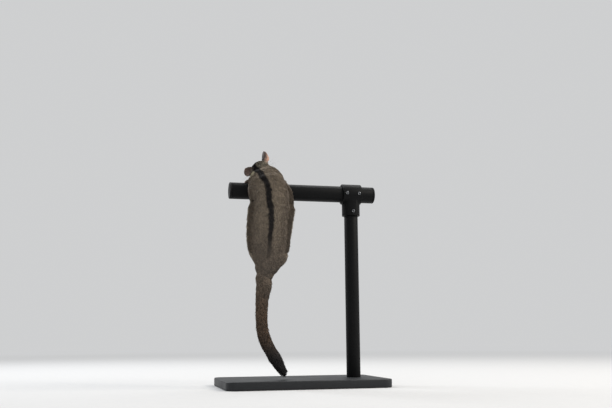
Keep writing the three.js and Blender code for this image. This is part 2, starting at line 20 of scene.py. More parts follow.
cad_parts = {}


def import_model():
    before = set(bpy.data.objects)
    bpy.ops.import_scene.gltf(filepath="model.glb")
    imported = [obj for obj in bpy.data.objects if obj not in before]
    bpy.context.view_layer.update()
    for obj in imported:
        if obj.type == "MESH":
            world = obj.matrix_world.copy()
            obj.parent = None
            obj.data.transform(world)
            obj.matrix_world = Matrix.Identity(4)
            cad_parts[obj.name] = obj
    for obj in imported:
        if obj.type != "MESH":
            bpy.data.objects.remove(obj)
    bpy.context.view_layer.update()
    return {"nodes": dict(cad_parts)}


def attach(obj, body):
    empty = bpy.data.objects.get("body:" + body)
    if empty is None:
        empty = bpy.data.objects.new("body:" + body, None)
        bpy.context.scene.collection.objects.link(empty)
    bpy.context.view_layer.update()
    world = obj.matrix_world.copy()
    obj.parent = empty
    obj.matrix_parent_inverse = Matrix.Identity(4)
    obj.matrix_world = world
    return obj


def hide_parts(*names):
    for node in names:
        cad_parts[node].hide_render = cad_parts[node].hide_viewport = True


Array = np.ndarray
Piece = bpy.types.Object
Mesh = bpy.types.Mesh
Material = bpy.types.Material
Socket = bpy.types.NodeSocket
BMesh = bmesh.types.BMesh
Colour = tuple[float, float, float, float]
Point = tuple[float, float, float]
Span = tuple[float, float]

MM = 0.001
SEED = 4004
COAT_COLOUR = "coat_colour"
BAKE_MAP = "OFBake"
LIE_MAP = "Lie"
SMALL = 1e-9
MERGE = 1e-6
FAR = 99.0
SIDES = ("left", "right")
# A point on the bar's axis between the hands, in millimetres. Camera and markings start from it.
GRIP: Point = (-45.0, 0.0, 290.0)

log = logging.getLogger("glider")


def srgb(red: float, green: float, blue: float) -> Colour:
    """A screen colour, 0 to 255 a channel, as linear light with full alpha."""
    def linear(channel: float) -> float:
        """One channel as linear light."""
        share = channel / 255
        return share / 12.92 if share <= 0.04045 else ((share + 0.055) / 1.055) ** 2.4
    return (linear(red), linear(green), linear(blue), 1.0)


def unit(vectors: Array) -> Array:
    """Rows of a table scaled to a length of one."""
    return vectors / np.maximum(np.linalg.norm(vectors, axis=-1, keepdims=True), SMALL)


def dot(first: Array, second: Array) -> Array:
    """The dot product of each pair of rows."""
    return np.sum(first * second, axis=-1)


def ramp(low: float, high: float, value: Array) -> Array:
    """A smooth step from 0 at low to 1 at high."""
    share = np.clip((value - low) / (high - low), 0.0, 1.0)
    return share * share * (3 - 2 * share)


def between(low: float, high: float, share: Array) -> Array:
    """Values from low at a share of 0 to high at a share of 1."""
    return low + (high - low) * share


def mix(first: Array, second: Array, share: Array) -> Array:
    """Each row of first turned into second by its own share."""
    return first + (second - first) * share[:, None]


def table_of(items: bpy.types.bpy_prop_collection, key: str, width: int, kind: type) -> Array:
    """One property of all of a mesh's vertices, edges or triangles, a row for each."""
    flat = np.empty(len(items) * width, kind)
    items.foreach_get(key, flat)
    return flat.reshape(-1, width)


def distance(rows: Array, point: Array) -> Array:
    """How far each row is from a point, or from its own row of a table."""
    return np.linalg.norm(rows - point, axis=1)


def tree_of(rows: Array) -> KDTree:
    """A tree that finds the nearest of some points."""
    tree = KDTree(len(rows))
    for number, row in enumerate(rows.tolist()):
        tree.insert(row, number)
    tree.balance()
    return tree


def place(bm: BMesh, name: str, smooth: bool = True) -> Piece:
    """Turns a bmesh into an object at the origin.

    Args:
        bm: the shape in metres, freed here.
        name: the piece's name.
        smooth: whether its faces are shaded smooth.

    Returns:
        The object, linked to the scene.
    """
    mesh = bpy.data.meshes.new(name)
    bm.to_mesh(mesh)
    bm.free()
    return show(mesh, name, smooth)


def show(mesh: Mesh, name: str, smooth: bool = True) -> Piece:
    """Links a mesh to the scene as an object at the origin."""
    mesh.polygons.foreach_set("use_smooth", [smooth] * len(mesh.polygons))
    piece = bpy.data.objects.new(name, mesh)
    bpy.context.scene.collection.objects.link(piece)
    return piece


def mesh_of(name: str, points: Array, triangles: Array) -> Mesh:
    """A mesh from tables of points and triangles.

    Args:
        name: the mesh's name.
        points: one row of x, y and z for each vertex, in millimetres.
        triangles: one row of three vertex numbers for each face.

    Returns:
        The mesh, in metres.
    """
    mesh = bpy.data.meshes.new(name)
    mesh.vertices.add(len(points))
    mesh.vertices.foreach_set("co", (points * MM).astype(np.float32).ravel())
    mesh.loops.add(triangles.size)
    mesh.loops.foreach_set("vertex_index", triangles.astype(np.int32).ravel())
    mesh.polygons.add(len(triangles))
    mesh.polygons.foreach_set("loop_start", np.arange(0, triangles.size, 3, dtype=np.int32))
    mesh.update(calc_edges=True)
    return mesh


def paint(mesh: Mesh, colours: Array) -> None:
    """Stores one colour for each vertex under the coat's name."""
    layer = mesh.color_attributes.new(COAT_COLOUR, "FLOAT_COLOR", "POINT")
    full = np.ones((len(colours), 4), np.float32)
    full[:, :3] = np.clip(colours, 0.0, 1.0)
    layer.data.foreach_set("color", full.ravel())


def both(*parts: str) -> list[str]:
    """The left and the right node of each of some parts."""
    return [f"{part}_{side}" for part in parts for side in SIDES]


def hand_in(piece: Piece, slot: str, nodes: Sequence[str]) -> None:
    """Lets a finished piece ride on the root, hides the nodes it stands for and logs its faces and slot."""
    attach(piece, "root")
    if nodes:
        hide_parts(*nodes)
    faces = len(piece.data.polygons)
    log.info("%s: %d faces, slot %s", piece.name, faces, slot)


def lathe(profile: Sequence[Span], sides: int, matrix: Matrix) -> BMesh:
    """Spins a profile of radius and height pairs once round +Z, then places it.

    Args:
        profile: radius and height of each point in millimetres, from bottom to top.
        sides: number of steps round the axis.
        matrix: where the result goes, in metres.

    Returns:
        A closed shape with its normals outwards.
    """
    bm = bmesh.new()
    ring = [bm.verts.new((radius * MM, 0.0, height * MM)) for radius, height in profile]
    edges = [bm.edges.new(pair) for pair in zip(ring, ring[1:])]
    bmesh.ops.spin(
        bm, geom=ring + edges, cent=(0, 0, 0), axis=(0, 0, 1), dvec=(0, 0, 0),
        angle=math.tau, steps=sides, use_merge=True,
    )
    bmesh.ops.remove_doubles(bm, verts=bm.verts, dist=MERGE)
    bmesh.ops.recalc_face_normals(bm, faces=bm.faces)
    bmesh.ops.transform(bm, matrix=matrix, verts=bm.verts)
    return bm


def rim(radius: float, height: float, edge: float, steps: int, up: bool) -> list[Span]:
    """Profile points of a rounded outer rim.

    Args:
        radius: the outer radius in millimetres.
        height: where the flat end lies.
        edge: the rounding's radius.
        steps: number of steps over the quarter turn.
        up: True for an upper rim, False for a lower one.

    Returns:
        Radius and height pairs in rising order of height.
    """
    way = 1 if up else -1
    points = []
    for i in range(steps + 1):
        turn = math.pi / 2 * i / steps
        drop = way * edge * (1 - math.sin(turn))
        points.append((radius - edge + edge * math.cos(turn), height - drop))
    return points if up else points[::-1]


class Sheet:
    """A material's node tree, with short ways to add nodes and join them."""

    # The numbers of a colour Mix node's sockets: share, first colour, second colour, result.
    MIX_SOCKETS = (0, 6, 7)
    MIX_RESULT = 2

    def __init__(self, name: str, **sockets: object) -> None:
        """Starts a material whose shader has the given uniform values."""
        self.material = bpy.data.materials.new(name)
        self.material.use_nodes = True
        self.tree = self.material.node_tree
        self.shader = self.tree.nodes["Principled BSDF"]
        self.set(self.shader, **sockets)

    def set(self, node: bpy.types.Node, **sockets: object) -> bpy.types.Node:
        """Sets input sockets by name, with _ for a space, and returns the node."""
        for name, value in sockets.items():
            node.inputs[name.replace("_", " ")].default_value = value
        return node

    def add(self, kind: str, **sockets: object) -> bpy.types.Node:
        """Adds a node of a kind with the given input values."""
        return self.set(self.tree.nodes.new("ShaderNode" + kind), **sockets)

    def link(self, source: Socket, target: Socket) -> None:
        """Joins an output to an input."""
        self.tree.links.new(source, target)

    def object_place(self) -> Socket:
        """The piece's own Object coordinates."""
        return self.add("TexCoord").outputs["Object"]

    def noise(self, place_in: Socket, scale: float, detail: float = 3.0) -> bpy.types.Node:
        """A noise texture at a number of cells per metre."""
        node = self.add("TexNoise", Scale=scale, Detail=detail)
        self.link(place_in, node.inputs["Vector"])
        return node

    def span(self, source: Socket, low: float, high: float) -> Socket:
        """A 0 to 1 value moved to run from low to high."""
        node = self.add("MapRange", To_Min=low, To_Max=high)
        self.link(source, node.inputs["Value"])
        return node.outputs["Result"]

    def coat_colour(self) -> Socket:
        """The colour that paint() stored on the piece."""
        node = self.add("VertexColor")
        node.layer_name = COAT_COLOUR
        return node.outputs["Color"]

    def base_colour(self, colour: Socket) -> None:
        """Gives the shader its colour."""
        self.link(colour, self.shader.inputs["Base Color"])

    def blend(self, mode: str, first: object, second: object, share: object) -> Socket:
        """Mixes two colours, each a socket or a fixed value.

        Args:
            mode: Blender's name of the way to mix.
            first: the colour underneath.
            second: the colour laid on it.
            share: how much of the second shows.

        Returns:
            The mixed colour.
        """
        node = self.tree.nodes.new("ShaderNodeMix")
        node.data_type = "RGBA"
        node.blend_type = mode
        for index, value in zip(self.MIX_SOCKETS, (share, first, second)):
            if isinstance(value, Socket):
                self.link(value, node.inputs[index])
            else:
                node.inputs[index].default_value = value
        return node.outputs[self.MIX_RESULT]

    def bump(self, height: Socket, strength: float, depth: float) -> None:
        """Raises the surface by a height pattern, on top of any bump already there."""
        node = self.add("Bump", Strength=strength, Distance=depth)
        self.link(height, node.inputs["Height"])
        before = self.shader.inputs["Normal"].links
        if before:
            self.link(before[0].from_socket, node.inputs["Normal"])
        self.link(node.outputs["Normal"], self.shader.inputs["Normal"])


@dataclass(frozen=True)
class CoatStyle:
    """How the coat grows on one region of the body. Lengths are in millimetres."""

    depth: float
    length: float
    width: float
    lift: float
    density: float
    smoothing: float
    steps: int = 2


class Region(Enum):
    """The regions of the body, each with its own style of coat."""

    # Depth, length, width, lift, density and smoothing, then the steps where they are not 2.
    TORSO = CoatStyle(1.9, 6.4, 0.84, 13, 3.5, 1.0)
    NECK = CoatStyle(1.8, 4.9, 0.68, 11, 5.2, 0.8)
    HEAD = CoatStyle(0.9, 3.3, 0.4, 12, 14.0, 0.2, steps=1)
    EAR = CoatStyle(0.0, 1.3, 0.24, 9, 3.0, 0.06, steps=1)
    NOSE = CoatStyle(0.0, 0.8, 0.3, 8, 0.0, 0.03, steps=1)
    UPPER_ARM = CoatStyle(1.3, 4.6, 0.7, 13, 6.0, 0.5, steps=1)
    FOREARM = CoatStyle(0.8, 3.2, 0.48, 11, 9.0, 0.35, steps=1)
    HAND = CoatStyle(0.0, 1.5, 0.26, 8, 6.0, 0.06, steps=1)
    THIGH = CoatStyle(1.7, 5.4, 0.8, 12, 3.8, 0.8)
    SHANK = CoatStyle(0.9, 3.4, 0.5, 10, 8.0, 0.4, steps=1)
    FOOT = CoatStyle(0.0, 1.6, 0.26, 8, 6.0, 0.06, steps=1)
    MEMBRANE = CoatStyle(0.5, 4.2, 0.66, 11, 5.5, 0.25, steps=1)
    TAIL = CoatStyle(2.9, 9.0, 1.0, 17, 3.4, 1.0)

    @classmethod
    def of(cls, node: str) -> "Region":
        """The region that a CAD node belongs to."""
        word = node.replace("_left", "").replace("_right", "").rstrip("_1234")
        return cls[word.upper()]

    @property
    def bare(self) -> bool:
        """Whether the region is naked skin."""
        return self.value.depth == 0.0


FLESH = (
    "torso", "neck", "head", "nose", "tail_1", "tail_2", "tail_3", "tail_4",
    *(f"{part}_{side}" for side in SIDES for part in (
        "ear", "upper_arm", "forearm", "hand", "thigh", "shank", "foot", "membrane")),
)

# What each node grows from, so that the coat lies away from it.
GROWS_FROM = {
    "torso": "neck", "neck": "head", "tail_1": "torso", "tail_2": "tail_1", "tail_3": "tail_2",
    "tail_4": "tail_3", "ear": "head", "upper_arm": "torso", "forearm": "upper_arm",
    "hand": "forearm", "thigh": "torso", "shank": "thigh", "foot": "shank", "membrane": "torso",
}

# Rows of the flat unwrap: the height of each, and its nodes with their widths.
UNWRAP = (
    (0.40, (("torso", 0.6), ("head", 0.4))),
    (0.20, (("tail_1", 0.25), ("tail_2", 0.25), ("tail_3", 0.25), ("tail_4", 0.25))),
    (0.20, (("membrane_left", 0.3), ("membrane_right", 0.3), ("thigh_left", 0.2), ("thigh_right", 0.2))),
    (0.20, tuple((node, 1 / 14) for node in (
        "neck", "nose", "upper_arm_left", "upper_arm_right", "forearm_left", "forearm_right", "shank_left",
        "shank_right", "hand_left", "hand_right", "foot_left", "foot_right", "ear_left", "ear_right"))),
)
UNWRAP_MARGIN = 0.006
# Below this length a node's front direction is too close to its long axis to be used.
LEAST_FRONT = 0.3


class Skeleton:
    """Directions and places read from the CAD nodes, all in millimetres."""

    # Up to and from which share of its length a node's two ends are compared.
    ENDS: Span = (0.08, 0.92)
    # How far ahead of the eyes the lie of the head's coat starts and ends its turn into the neck's.
    NAPE: Span = (-4.0, -18.0)
    # How far before the nose the coat of the head parts.
    PARTING = 4.0
    # How the coat runs on thighs and membranes: outwards, towards the bar's far side and up.
    LIES = {Region.THIGH: (0.25, 0.45, -0.9), Region.MEMBRANE: (0.45, -0.1, -1.0)}

    def __init__(self, nodes: dict[str, Piece]) -> None:
        """Reads each node's points and middle, the flesh's long axes and the head's directions.

        Args:
            nodes: the CAD nodes by name.
        """
        self.nodes = nodes
        self.points = {}
        for name, node in nodes.items():
            self.points[name] = table_of(node.data.vertices, "co", 3, np.float32).astype(float) / MM
        self.middles = {name: (rows.min(0) + rows.max(0)) / 2 for name, rows in self.points.items()}
        self.axes = {name: self.long_axis(name) for name in FLESH}
        self.eyes = {side: self.middles[f"eye_{side}"] for side in SIDES}
        self.eye_radius = float(np.ptp(self.points["eye_left"], axis=0).max() / 2)
        self.nose = self.middles["nose"]
        self.between = (self.eyes["left"] + self.eyes["right"]) / 2
        self.right = unit(self.eyes["right"] - self.eyes["left"])
        ahead = self.nose - self.between
        self.ahead = unit(ahead - self.right * float(ahead @ self.right))
        self.crown = np.cross(self.right, self.ahead)

    def long_axis(self, name: str) -> Array:
        """The main direction of a node, pointing away from what it grows from.

        Args:
            name: the node.

        Returns:
            The direction, of length one.
        """
        rows = self.points[name]
        if name == "neck":
            return unit(self.middles["torso"] - self.middles["head"])
        axis = np.linalg.svd(rows - rows.mean(0), full_matrices=False)[2][0]
        root = GROWS_FROM.get(name) or GROWS_FROM.get(name.rsplit("_", 1)[0])
        if root is None:
            return axis
        if root not in self.points:
            root = f"{root}_{name.rsplit('_', 1)[1]}"
        reach = rows @ axis
        low, high = np.quantile(reach, self.ENDS)
        gaps = []
        for end in (rows[reach < low], rows[reach > high]):
            gaps.append(distance(self.points[root], end.mean(0)).min())
        return axis if gaps[0] < gaps[1] else -axis

    def reach(self, name: str, rows: Array) -> Array:
        """The share of a node's length from its root at which each point lies, from 0 to 1."""
        whole = self.points[name] @ self.axes[name]
        return np.clip((rows @ self.axes[name] - whole.min()) / np.ptp(whole), 0.0, 1.0)

    def lie(self, name: str, rows: Array) -> Array:
        """The way the coat runs at points of a node, before it is laid on the skin.

        Args:
            name: the node.
            rows: points on it.

        Returns:
            One direction for each point.
        """
        region = Region.of(name)
        if region is Region.HEAD:
            away = unit(rows - (self.nose + self.ahead * self.PARTING))
            behind = ramp(*self.NAPE, (rows - self.between) @ self.ahead)
            return unit(mix(away, self.axes["neck"], behind))
        way = self.axes[name]
        if region in self.LIES:
            out, over, up = self.LIES[region]
            side = -1.0 if name.endswith("left") else 1.0
            way = unit(np.array([side * out, over, up]))
        return np.tile(way, (len(rows), 1))


@dataclass(frozen=True)
class Roll:
    """How a node is rolled out flat: its middle, its directions, both ends and its mean radius."""

    middle: Array
    along: Array
    front: Array
    side: Array
    low: float
    high: float
    radius: float

    @classmethod
    def of(cls, rows: Array, along: Array) -> "Roll":
        """Measures how a node is rolled out round its long axis.

        Args:
            rows: the node's points.
            along: its long axis.

        Returns:
            The measures. The front faces the bar's far side, or up on a node that lies that way.
        """
        front = np.array([0.0, 1.0, 0.0]) - along * along[1]
        if np.linalg.norm(front) < LEAST_FRONT:
            front = np.array([0.0, 0.0, 1.0]) - along * along[2]
        front = unit(front)
        middle = rows.mean(0)
        reach = rows @ along
        across = rows - middle
        across = across - np.outer(across @ along, along)
        radius = float(np.linalg.norm(across, axis=1).mean())
        return cls(middle, along, front, np.cross(along, front), reach.min(), reach.max(), radius)


class Unwrap:
    """A flat map of the skin: each node is rolled out round its long axis into its own cell."""

    def __init__(self, bones: Skeleton) -> None:
        """Lays out a cell for each node and measures how it is rolled out."""
        self.cells: dict[str, tuple[float, float, float, float]] = {}
        low = 0.0
        for height, row in UNWRAP:
            left = 0.0
            for name, width in row:
                self.cells[name] = (left + UNWRAP_MARGIN, low + UNWRAP_MARGIN,
                                    width - 2 * UNWRAP_MARGIN, height - 2 * UNWRAP_MARGIN)
                left += width
            low += height
        self.rolls = {name: Roll.of(bones.points[name], bones.axes[name]) for name in FLESH}

    def turn_and_reach(self, name: str, rows: Array) -> tuple[Array, Array]:
        """The share of a turn round a node's axis and the share of its length, for each point."""
        roll = self.rolls[name]
        away = rows - roll.middle
        turn = np.arctan2(away @ roll.side, -(away @ roll.front)) / math.tau + 0.5
        return turn, np.clip((rows @ roll.along - roll.low) / (roll.high - roll.low), 0.0, 1.0)

    def patch_places(self, name: str, rows: Array) -> Array:
        """Where points of a node lie on the flat map."""
        left, low, width, height = self.cells[name]
        turn, reach = self.turn_and_reach(name, rows)
        return np.stack([left + width * turn, low + height * reach], axis=1)


class Ripple:
    """A soft random pattern made of a few crossed waves, the same on every run."""

    # The waves' lengths as shares of the size, and the height that brings the sum to about 1.
    LENGTHS: Span = (0.7, 2.2)
    HEIGHT = 1.4

    def __init__(self, size: float, seed: int, waves: int = 14) -> None:
        """Draws the waves for a pattern of about a size in millimetres."""
        draw = np.random.default_rng(seed)
        ways = unit(draw.normal(size=(waves, 3)))
        lengths = size * draw.uniform(*self.LENGTHS, size=(waves, 1))
        self.waves = ways * math.tau / lengths
        self.phases = draw.uniform(0, math.tau, size=waves)

    def at(self, rows: Array) -> Array:
        """The pattern at points, mostly between -1 and 1."""
        height = np.sin(rows @ self.waves.T + self.phases).sum(1)
        return height / math.sqrt(len(self.phases) / 2) / self.HEIGHT


@dataclass
class Muzzle:
    """Nostrils and the line of the mouth, found on the skin from the head's own directions.

    Lengths are in millimetres and lie ahead of, beside and above the middle of the nose.
    """

    bones: Skeleton
    nostril: Point = (1.5, 1.55, -0.1)
    nostril_radius: float = 0.8
    nostril_depth: float = 1.3
    split_radius: float = 0.42
    split_depth: float = 0.55
    # The groove lies further ahead than the first of these, below the second and above the third.
    split_reach: Point = (-1.5, 1.2, -7.0)
    # The mouth's corner and front: how far ahead, and how many degrees round below the side.
    corner: Span = (-12.5, 40.0)
    front: Span = (-0.6, 86.0)
    axis_drop: float = 2.6
    # How far a point of the mouth may be off its place in millimetres and off its turn in degrees.
    looseness: Span = (0.6, 4.0)
    lip_radius: float = 0.55
    lip_depth: float = 0.75
    steps: int = 26
    search_radius: float = 26.0
    near_radius: float = 22.0
    farthest: float = 9.0
    mouth: Array = field(init=False)

    def own(self, rows: Array) -> Array:
        """Points as lengths ahead of, to the right of and above the nose."""
        bones = self.bones
        away = rows - bones.nose
        return np.column_stack([away @ bones.ahead, away @ bones.right, away @ bones.crown])

    def find_mouth(self, rows: Array) -> None:
        """Finds the mouth's line on the skin: under the nose and back below each eye.

        Args:
            rows: the skin's points.
        """
        near = distance(rows, self.bones.nose) < self.search_radius
        close = self.own(rows[near])
        places = rows[near]
        found = []
        loose_place, loose_turn = self.looseness
        for side in (-1, 1):
            for share in np.linspace(0, 1, self.steps):
                ahead = self.front[0] + (self.corner[0] - self.front[0]) * share
                below = self.front[1] + (self.corner[1] - self.front[1]) * math.sqrt(share)
                turn = np.degrees(np.arctan2(-(close[:, 2] + self.axis_drop), close[:, 1] * side))
                cost = ((close[:, 0] - ahead) / loose_place) ** 2 + ((turn - below) / loose_turn) ** 2
                found.append(places[np.argmin(cost)])
        self.mouth = np.array(found)

    def from_mouth(self, rows: Array) -> Array:
        """The distance of points from the line of the mouth.

        Args:
            rows: the points.

        Returns:
            The distance of each, at most the farthest that counts.
        """
        away = np.full(len(rows), self.farthest)
        near = distance(rows, self.bones.nose) < self.near_radius
        chosen = rows[near]
        closest = away[near]
        for line in np.split(self.mouth, 2):
            for start, end in zip(line, line[1:]):
                way = end - start
                share = np.clip((chosen - start) @ way / max(way @ way, SMALL), 0, 1)
                gap = np.linalg.norm(chosen - start - share[:, None] * way, axis=1)
                closest = np.minimum(closest, gap)
        away[near] = closest
        return away

    def from_nostrils(self, rows: Array) -> Array:
        """The distance of each point from the nearer nostril."""
        close = self.own(rows)
        ahead, beside, above = self.nostril
        return np.sqrt((close[:, 0] - ahead) ** 2 + (np.abs(close[:, 1]) - beside) ** 2
                       + (close[:, 2] - above) ** 2)

    def from_split(self, rows: Array) -> Array:
        """The distance sideways from the groove down the front of the nose."""
        close = self.own(rows)
        ahead, top, bottom = self.split_reach
        there = (close[:, 0] > ahead) & (close[:, 2] < top) & (close[:, 2] > bottom)
        return np.where(there, np.abs(close[:, 1]), self.farthest)

    def carved(self, rows: Array, normals: Array) -> Array:
        """The skin's points with nostrils, groove and mouth pressed in."""
        deep = self.nostril_depth * np.exp(-(self.from_nostrils(rows) / self.nostril_radius) ** 2)
        deep += self.split_depth * np.exp(-(self.from_split(rows) / self.split_radius) ** 2)
        deep += self.lip_depth * np.exp(-(self.from_mouth(rows) / self.lip_radius) ** 2)
        return rows - normals * deep[:, None]


@dataclass
class Skin:
    """The one skin under the coat, grown from the CAD nodes of flesh. Sizes in millimetres."""

    bones: Skeleton
    muzzle: Muzzle
    voxel: float = 0.45
    overlap: float = 0.35
    overlap_taken_back: float = 0.8
    rounds: int = 60
    rounds_spread: int = 12
    depth_spread: int = 40
    last_touch: float = 4.0
    wanted_faces: int = 170_000
    # From the eye to where smoothing and coat are whole again, and how much of each is left at it.
    lid_reach: Span = (4.0, 8.5)
    lid_smoothing: float = 0.12
    lid_depth: float = 0.25
    joint_reach: Span = (4.0, 13.0)
    joint_rounds: int = 420
    joint_stride: int = 3
    tail_ease: float = 0.22
    waist_fill: float = 0.8
    waist_reach: Span = (3.0, 14.0)
    eased_regions: tuple[Region, ...] = (
        Region.TORSO, Region.NECK, Region.HEAD, Region.THIGH, Region.TAIL)
    # The coat's length near the nose, near the eyes' rims and on the muzzle.
    snout_reach: Span = (4.0, 24.0)
    snout_length: float = 0.25
    rim_reach: Span = (0.5, 5.0)
    rim_length: float = 0.35
    rim_margin: float = 0.9
    muzzle_reach: Span = (8.0, 24.0)
    muzzle_density: float = 0.9
    muzzle_width: float = 0.7
    lips_reach: Span = (0.5, 1.0)
    # How far along each paw the fur fades, and density and length: bare, and what fur adds.
    paw_reach: Span = (0.12, 0.55)
    paw_density: Span = (0.12, 1.9)
    paw_length: Span = (0.7, 0.7)
    lie_spread: int = 60
    length_spread: int = 40
    lift_spread: int = 8
    density_spread: int = 2
    piece: Piece = field(init=False)

    def build(self) -> Piece:
        """Makes the skin and works out what the coat needs at each of its points.

        Returns:
            The finished skin.
        """
        self.piece = self.thinned(self.shaped(self.united()))
        self.read()
        return self.piece

    def united(self) -> Piece:
        """One closed surface round slightly grown copies of the flesh nodes.

        Returns:
            The rough skin, out to the tips of the coat.
        """
        whole = bmesh.new()
        for name in FLESH:
            copy = bmesh.new()
            copy.from_mesh(self.bones.nodes[name].data)
            bmesh.ops.remove_doubles(copy, verts=copy.verts, dist=MERGE)
            copy.normal_update()
            for vertex in copy.verts:
                vertex.co += vertex.normal * self.overlap * MM
            part = bpy.data.meshes.new("part")
            copy.to_mesh(part)
            copy.free()
            whole.from_mesh(part)
            bpy.data.meshes.remove(part)
        union = place(whole, "union")
        remesh = union.modifiers.new("union", "REMESH")
        remesh.mode = "VOXEL"
        remesh.voxel_size = self.voxel * MM
        return self.applied(union, "rough")

    def applied(self, piece: Piece, name: str) -> Piece:
        """A new object with a piece's modifiers in its mesh. The old one is removed."""
        graph = bpy.context.evaluated_depsgraph_get()
        mesh = bpy.data.meshes.new_from_object(piece.evaluated_get(graph))
        mesh.name = name
        bpy.data.objects.remove(piece)
        return show(mesh, name)

    def labels(self, rows: Array) -> Array:
        """Finds the node nearest to each point.

        Args:
            rows: the points.

        Returns:
            The node's number in FLESH for each point.
        """
        corners: list[Array] = []
        faces: list[Array] = []
        owners: list[Array] = []
        count = 0
        for number, name in enumerate(FLESH):
            mesh = self.bones.nodes[name].data
            mesh.calc_loop_triangles()
            triangles = table_of(mesh.loop_triangles, "vertices", 3, np.int32)
            corners.append(self.bones.points[name])
            faces.append(triangles + count)
            owners.append(np.full(len(triangles), number))
            count += len(self.bones.points[name])
        tree = BVHTree.FromPolygons(np.concatenate(corners).tolist(), np.concatenate(faces).tolist())
        nearest = (tree.find_nearest(row)[2] for row in rows.tolist())
        return np.concatenate(owners)[np.fromiter(nearest, np.int64, len(rows))]

    def shaped(self, rough: Piece) -> Piece:
        """Smooths the facets away and lowers the skin by the coat's depth.

        Args:
            rough: the rough skin.

        Returns:
            The same piece with its shape changed.
        """
        mesh = rough.data
        rows, edges = self.tables(mesh)
        labels = self.labels(rows)
        rounds = np.array([Region.of(name).value.smoothing for name in FLESH])[labels]
        off_eyes = np.ones(len(rows))
        for eye in self.bones.eyes.values():
            off_eyes = np.minimum(off_eyes, ramp(*self.lid_reach, distance(rows, eye)))
        share = self.spread(rounds * between(self.lid_smoothing, 1, off_eyes), edges, self.rounds_spread)
        for turn in range(self.rounds):
            live = (share * self.rounds > turn).astype(float) * 0.5
            rows += (self.around(rows, edges) - rows) * live[:, None]
        rows = self.eased(rows, edges, self.near_joints(rows, edges, labels) * off_eyes)
        depth = np.array([Region.of(name).value.depth for name in FLESH])[labels]
        depth *= 1 - self.waist_fill * self.at_waist(rows)
        depth *= between(self.lid_depth, 1, off_eyes) * self.snout(rows)
        depth = self.spread(depth, edges, self.depth_spread)
        self.move(mesh, rows)
        normals = self.normals(mesh)
        rows -= normals * (depth + self.overlap * self.overlap_taken_back)[:, None]
        touch = 0.5 * np.minimum(share * self.last_touch, 1)
        rows += (self.around(rows, edges) - rows) * touch[:, None]
        self.muzzle.find_mouth(rows)
        self.move(mesh, self.muzzle.carved(rows, normals))
        return rough

    @staticmethod
    def move(mesh: Mesh, rows: Array) -> None:
        """Puts a mesh's vertices at points in millimetres."""
        mesh.vertices.foreach_set("co", (rows * MM).astype(np.float32).ravel())
        mesh.update()

    def near_joints(self, rows: Array, edges: Array, labels: Array) -> Array:
        """How close each point is to where two parts of trunk, head, thighs or tail meet.

        Args:
            rows: the skin's points.
            edges: its edges.
            labels: the number of each point's node.

        Returns:
            A share from 0 to 1 for each point.
        """
        soft = np.isin(labels, self.numbers(*self.eased_regions))
        across = (labels[edges[:, 0]] != labels[edges[:, 1]]) & soft[edges].all(1)
        tree = tree_of(rows[np.unique(edges[across])][::self.joint_stride])
        nearest = (tree.find(row)[2] for row in rows[soft].tolist())
        away = np.full(len(rows), FAR)
        away[soft] = np.fromiter(nearest, float, int(soft.sum()))
        on_tail = np.isin(labels, self.numbers(Region.TAIL))
        return (1 - ramp(*self.joint_reach, away)) * np.where(on_tail, self.tail_ease, 1.0)

    @staticmethod
    def numbers(*regions: Region) -> list[int]:
        """The numbers in FLESH of the nodes of some regions."""
        return [number for number, name in enumerate(FLESH) if Region.of(name) in regions]

    def at_waist(self, rows: Array) -> Array:
        """How close each point is to the height at which the tail leaves the rump, from 0 to 1."""
        axis = self.bones.axes["tail_1"]
        root = (self.bones.points["tail_1"] @ axis).min()
        return 1 - ramp(*self.waist_reach, np.abs(rows @ axis - root))

    def eased(self, rows: Array, edges: Array, share: Array) -> Array:
        """Evens out the points near joints by many rounds.

        Args:
            rows: the skin's points.
            edges: its edges.
            share: how much each point takes part. Points at 0 stay.

        Returns:
            The moved points.
        """
        chosen = share > 0
        number = np.cumsum(chosen) - 1
        inner = number[edges[chosen[edges].all(1)]]
        part = rows[chosen]
        step = (share[chosen] * 0.5)[:, None]
        for _ in range(self.joint_rounds):
            part += (self.around(part, inner) - part) * step
        moved = rows.copy()
        moved[chosen] = part
        return moved

    def snout(self, rows: Array) -> Array:
        """How much of the coat's depth and length is left towards the nose, 1 for all."""
        away = distance(rows, self.bones.nose)
        return between(self.snout_length, 1, ramp(*self.snout_reach, away))

    def thinned(self, shaped: Piece) -> Piece:
        """The skin with fewer faces, most where it is most curved."""
        faces = len(shaped.data.polygons) * 2
        fewer = shaped.modifiers.new("fewer", "DECIMATE")
        fewer.ratio = min(1.0, self.wanted_faces / faces)
        fewer.use_collapse_triangulate = True
        return self.applied(shaped, "skin")

    @staticmethod
    def tables(mesh: Mesh) -> tuple[Array, Array]:
        """A mesh's points in millimetres and its edges as vertex pairs."""
        rows = table_of(mesh.vertices, "co", 3, np.float32).astype(float) / MM
        return rows, table_of(mesh.edges, "vertices", 2, np.int32)

    @staticmethod
    def normals(mesh: Mesh) -> Array:
        """The direction outwards at each vertex."""
        return unit(table_of(mesh.vertices, "normal", 3, np.float32).astype(float))

    @staticmethod
    def around(values: Array, edges: Array) -> Array:
        """The mean of the neighbours' values at each vertex.

        Args:
            values: a number or a row for each vertex.
            edges: the vertex pairs that are neighbours.

        Returns:
            The means, in the shape of the values.
        """
        first, second = edges[:, 0], edges[:, 1]
        count = len(values)
        near = np.bincount(first, minlength=count) + np.bincount(second, minlength=count)
        columns = values.reshape(count, -1)
        total = np.stack([
            np.bincount(first, column[second], count) + np.bincount(second, column[first], count)
            for column in columns.T], axis=1)
        return (total / np.maximum(near, 1)[:, None]).reshape(values.shape)

    def spread(self, values: Array, edges: Array, rounds: int) -> Array:
        """Values evened out over the surface by a number of rounds."""
        for _ in range(rounds):
            values = (values + self.around(values, edges)) / 2
        return values

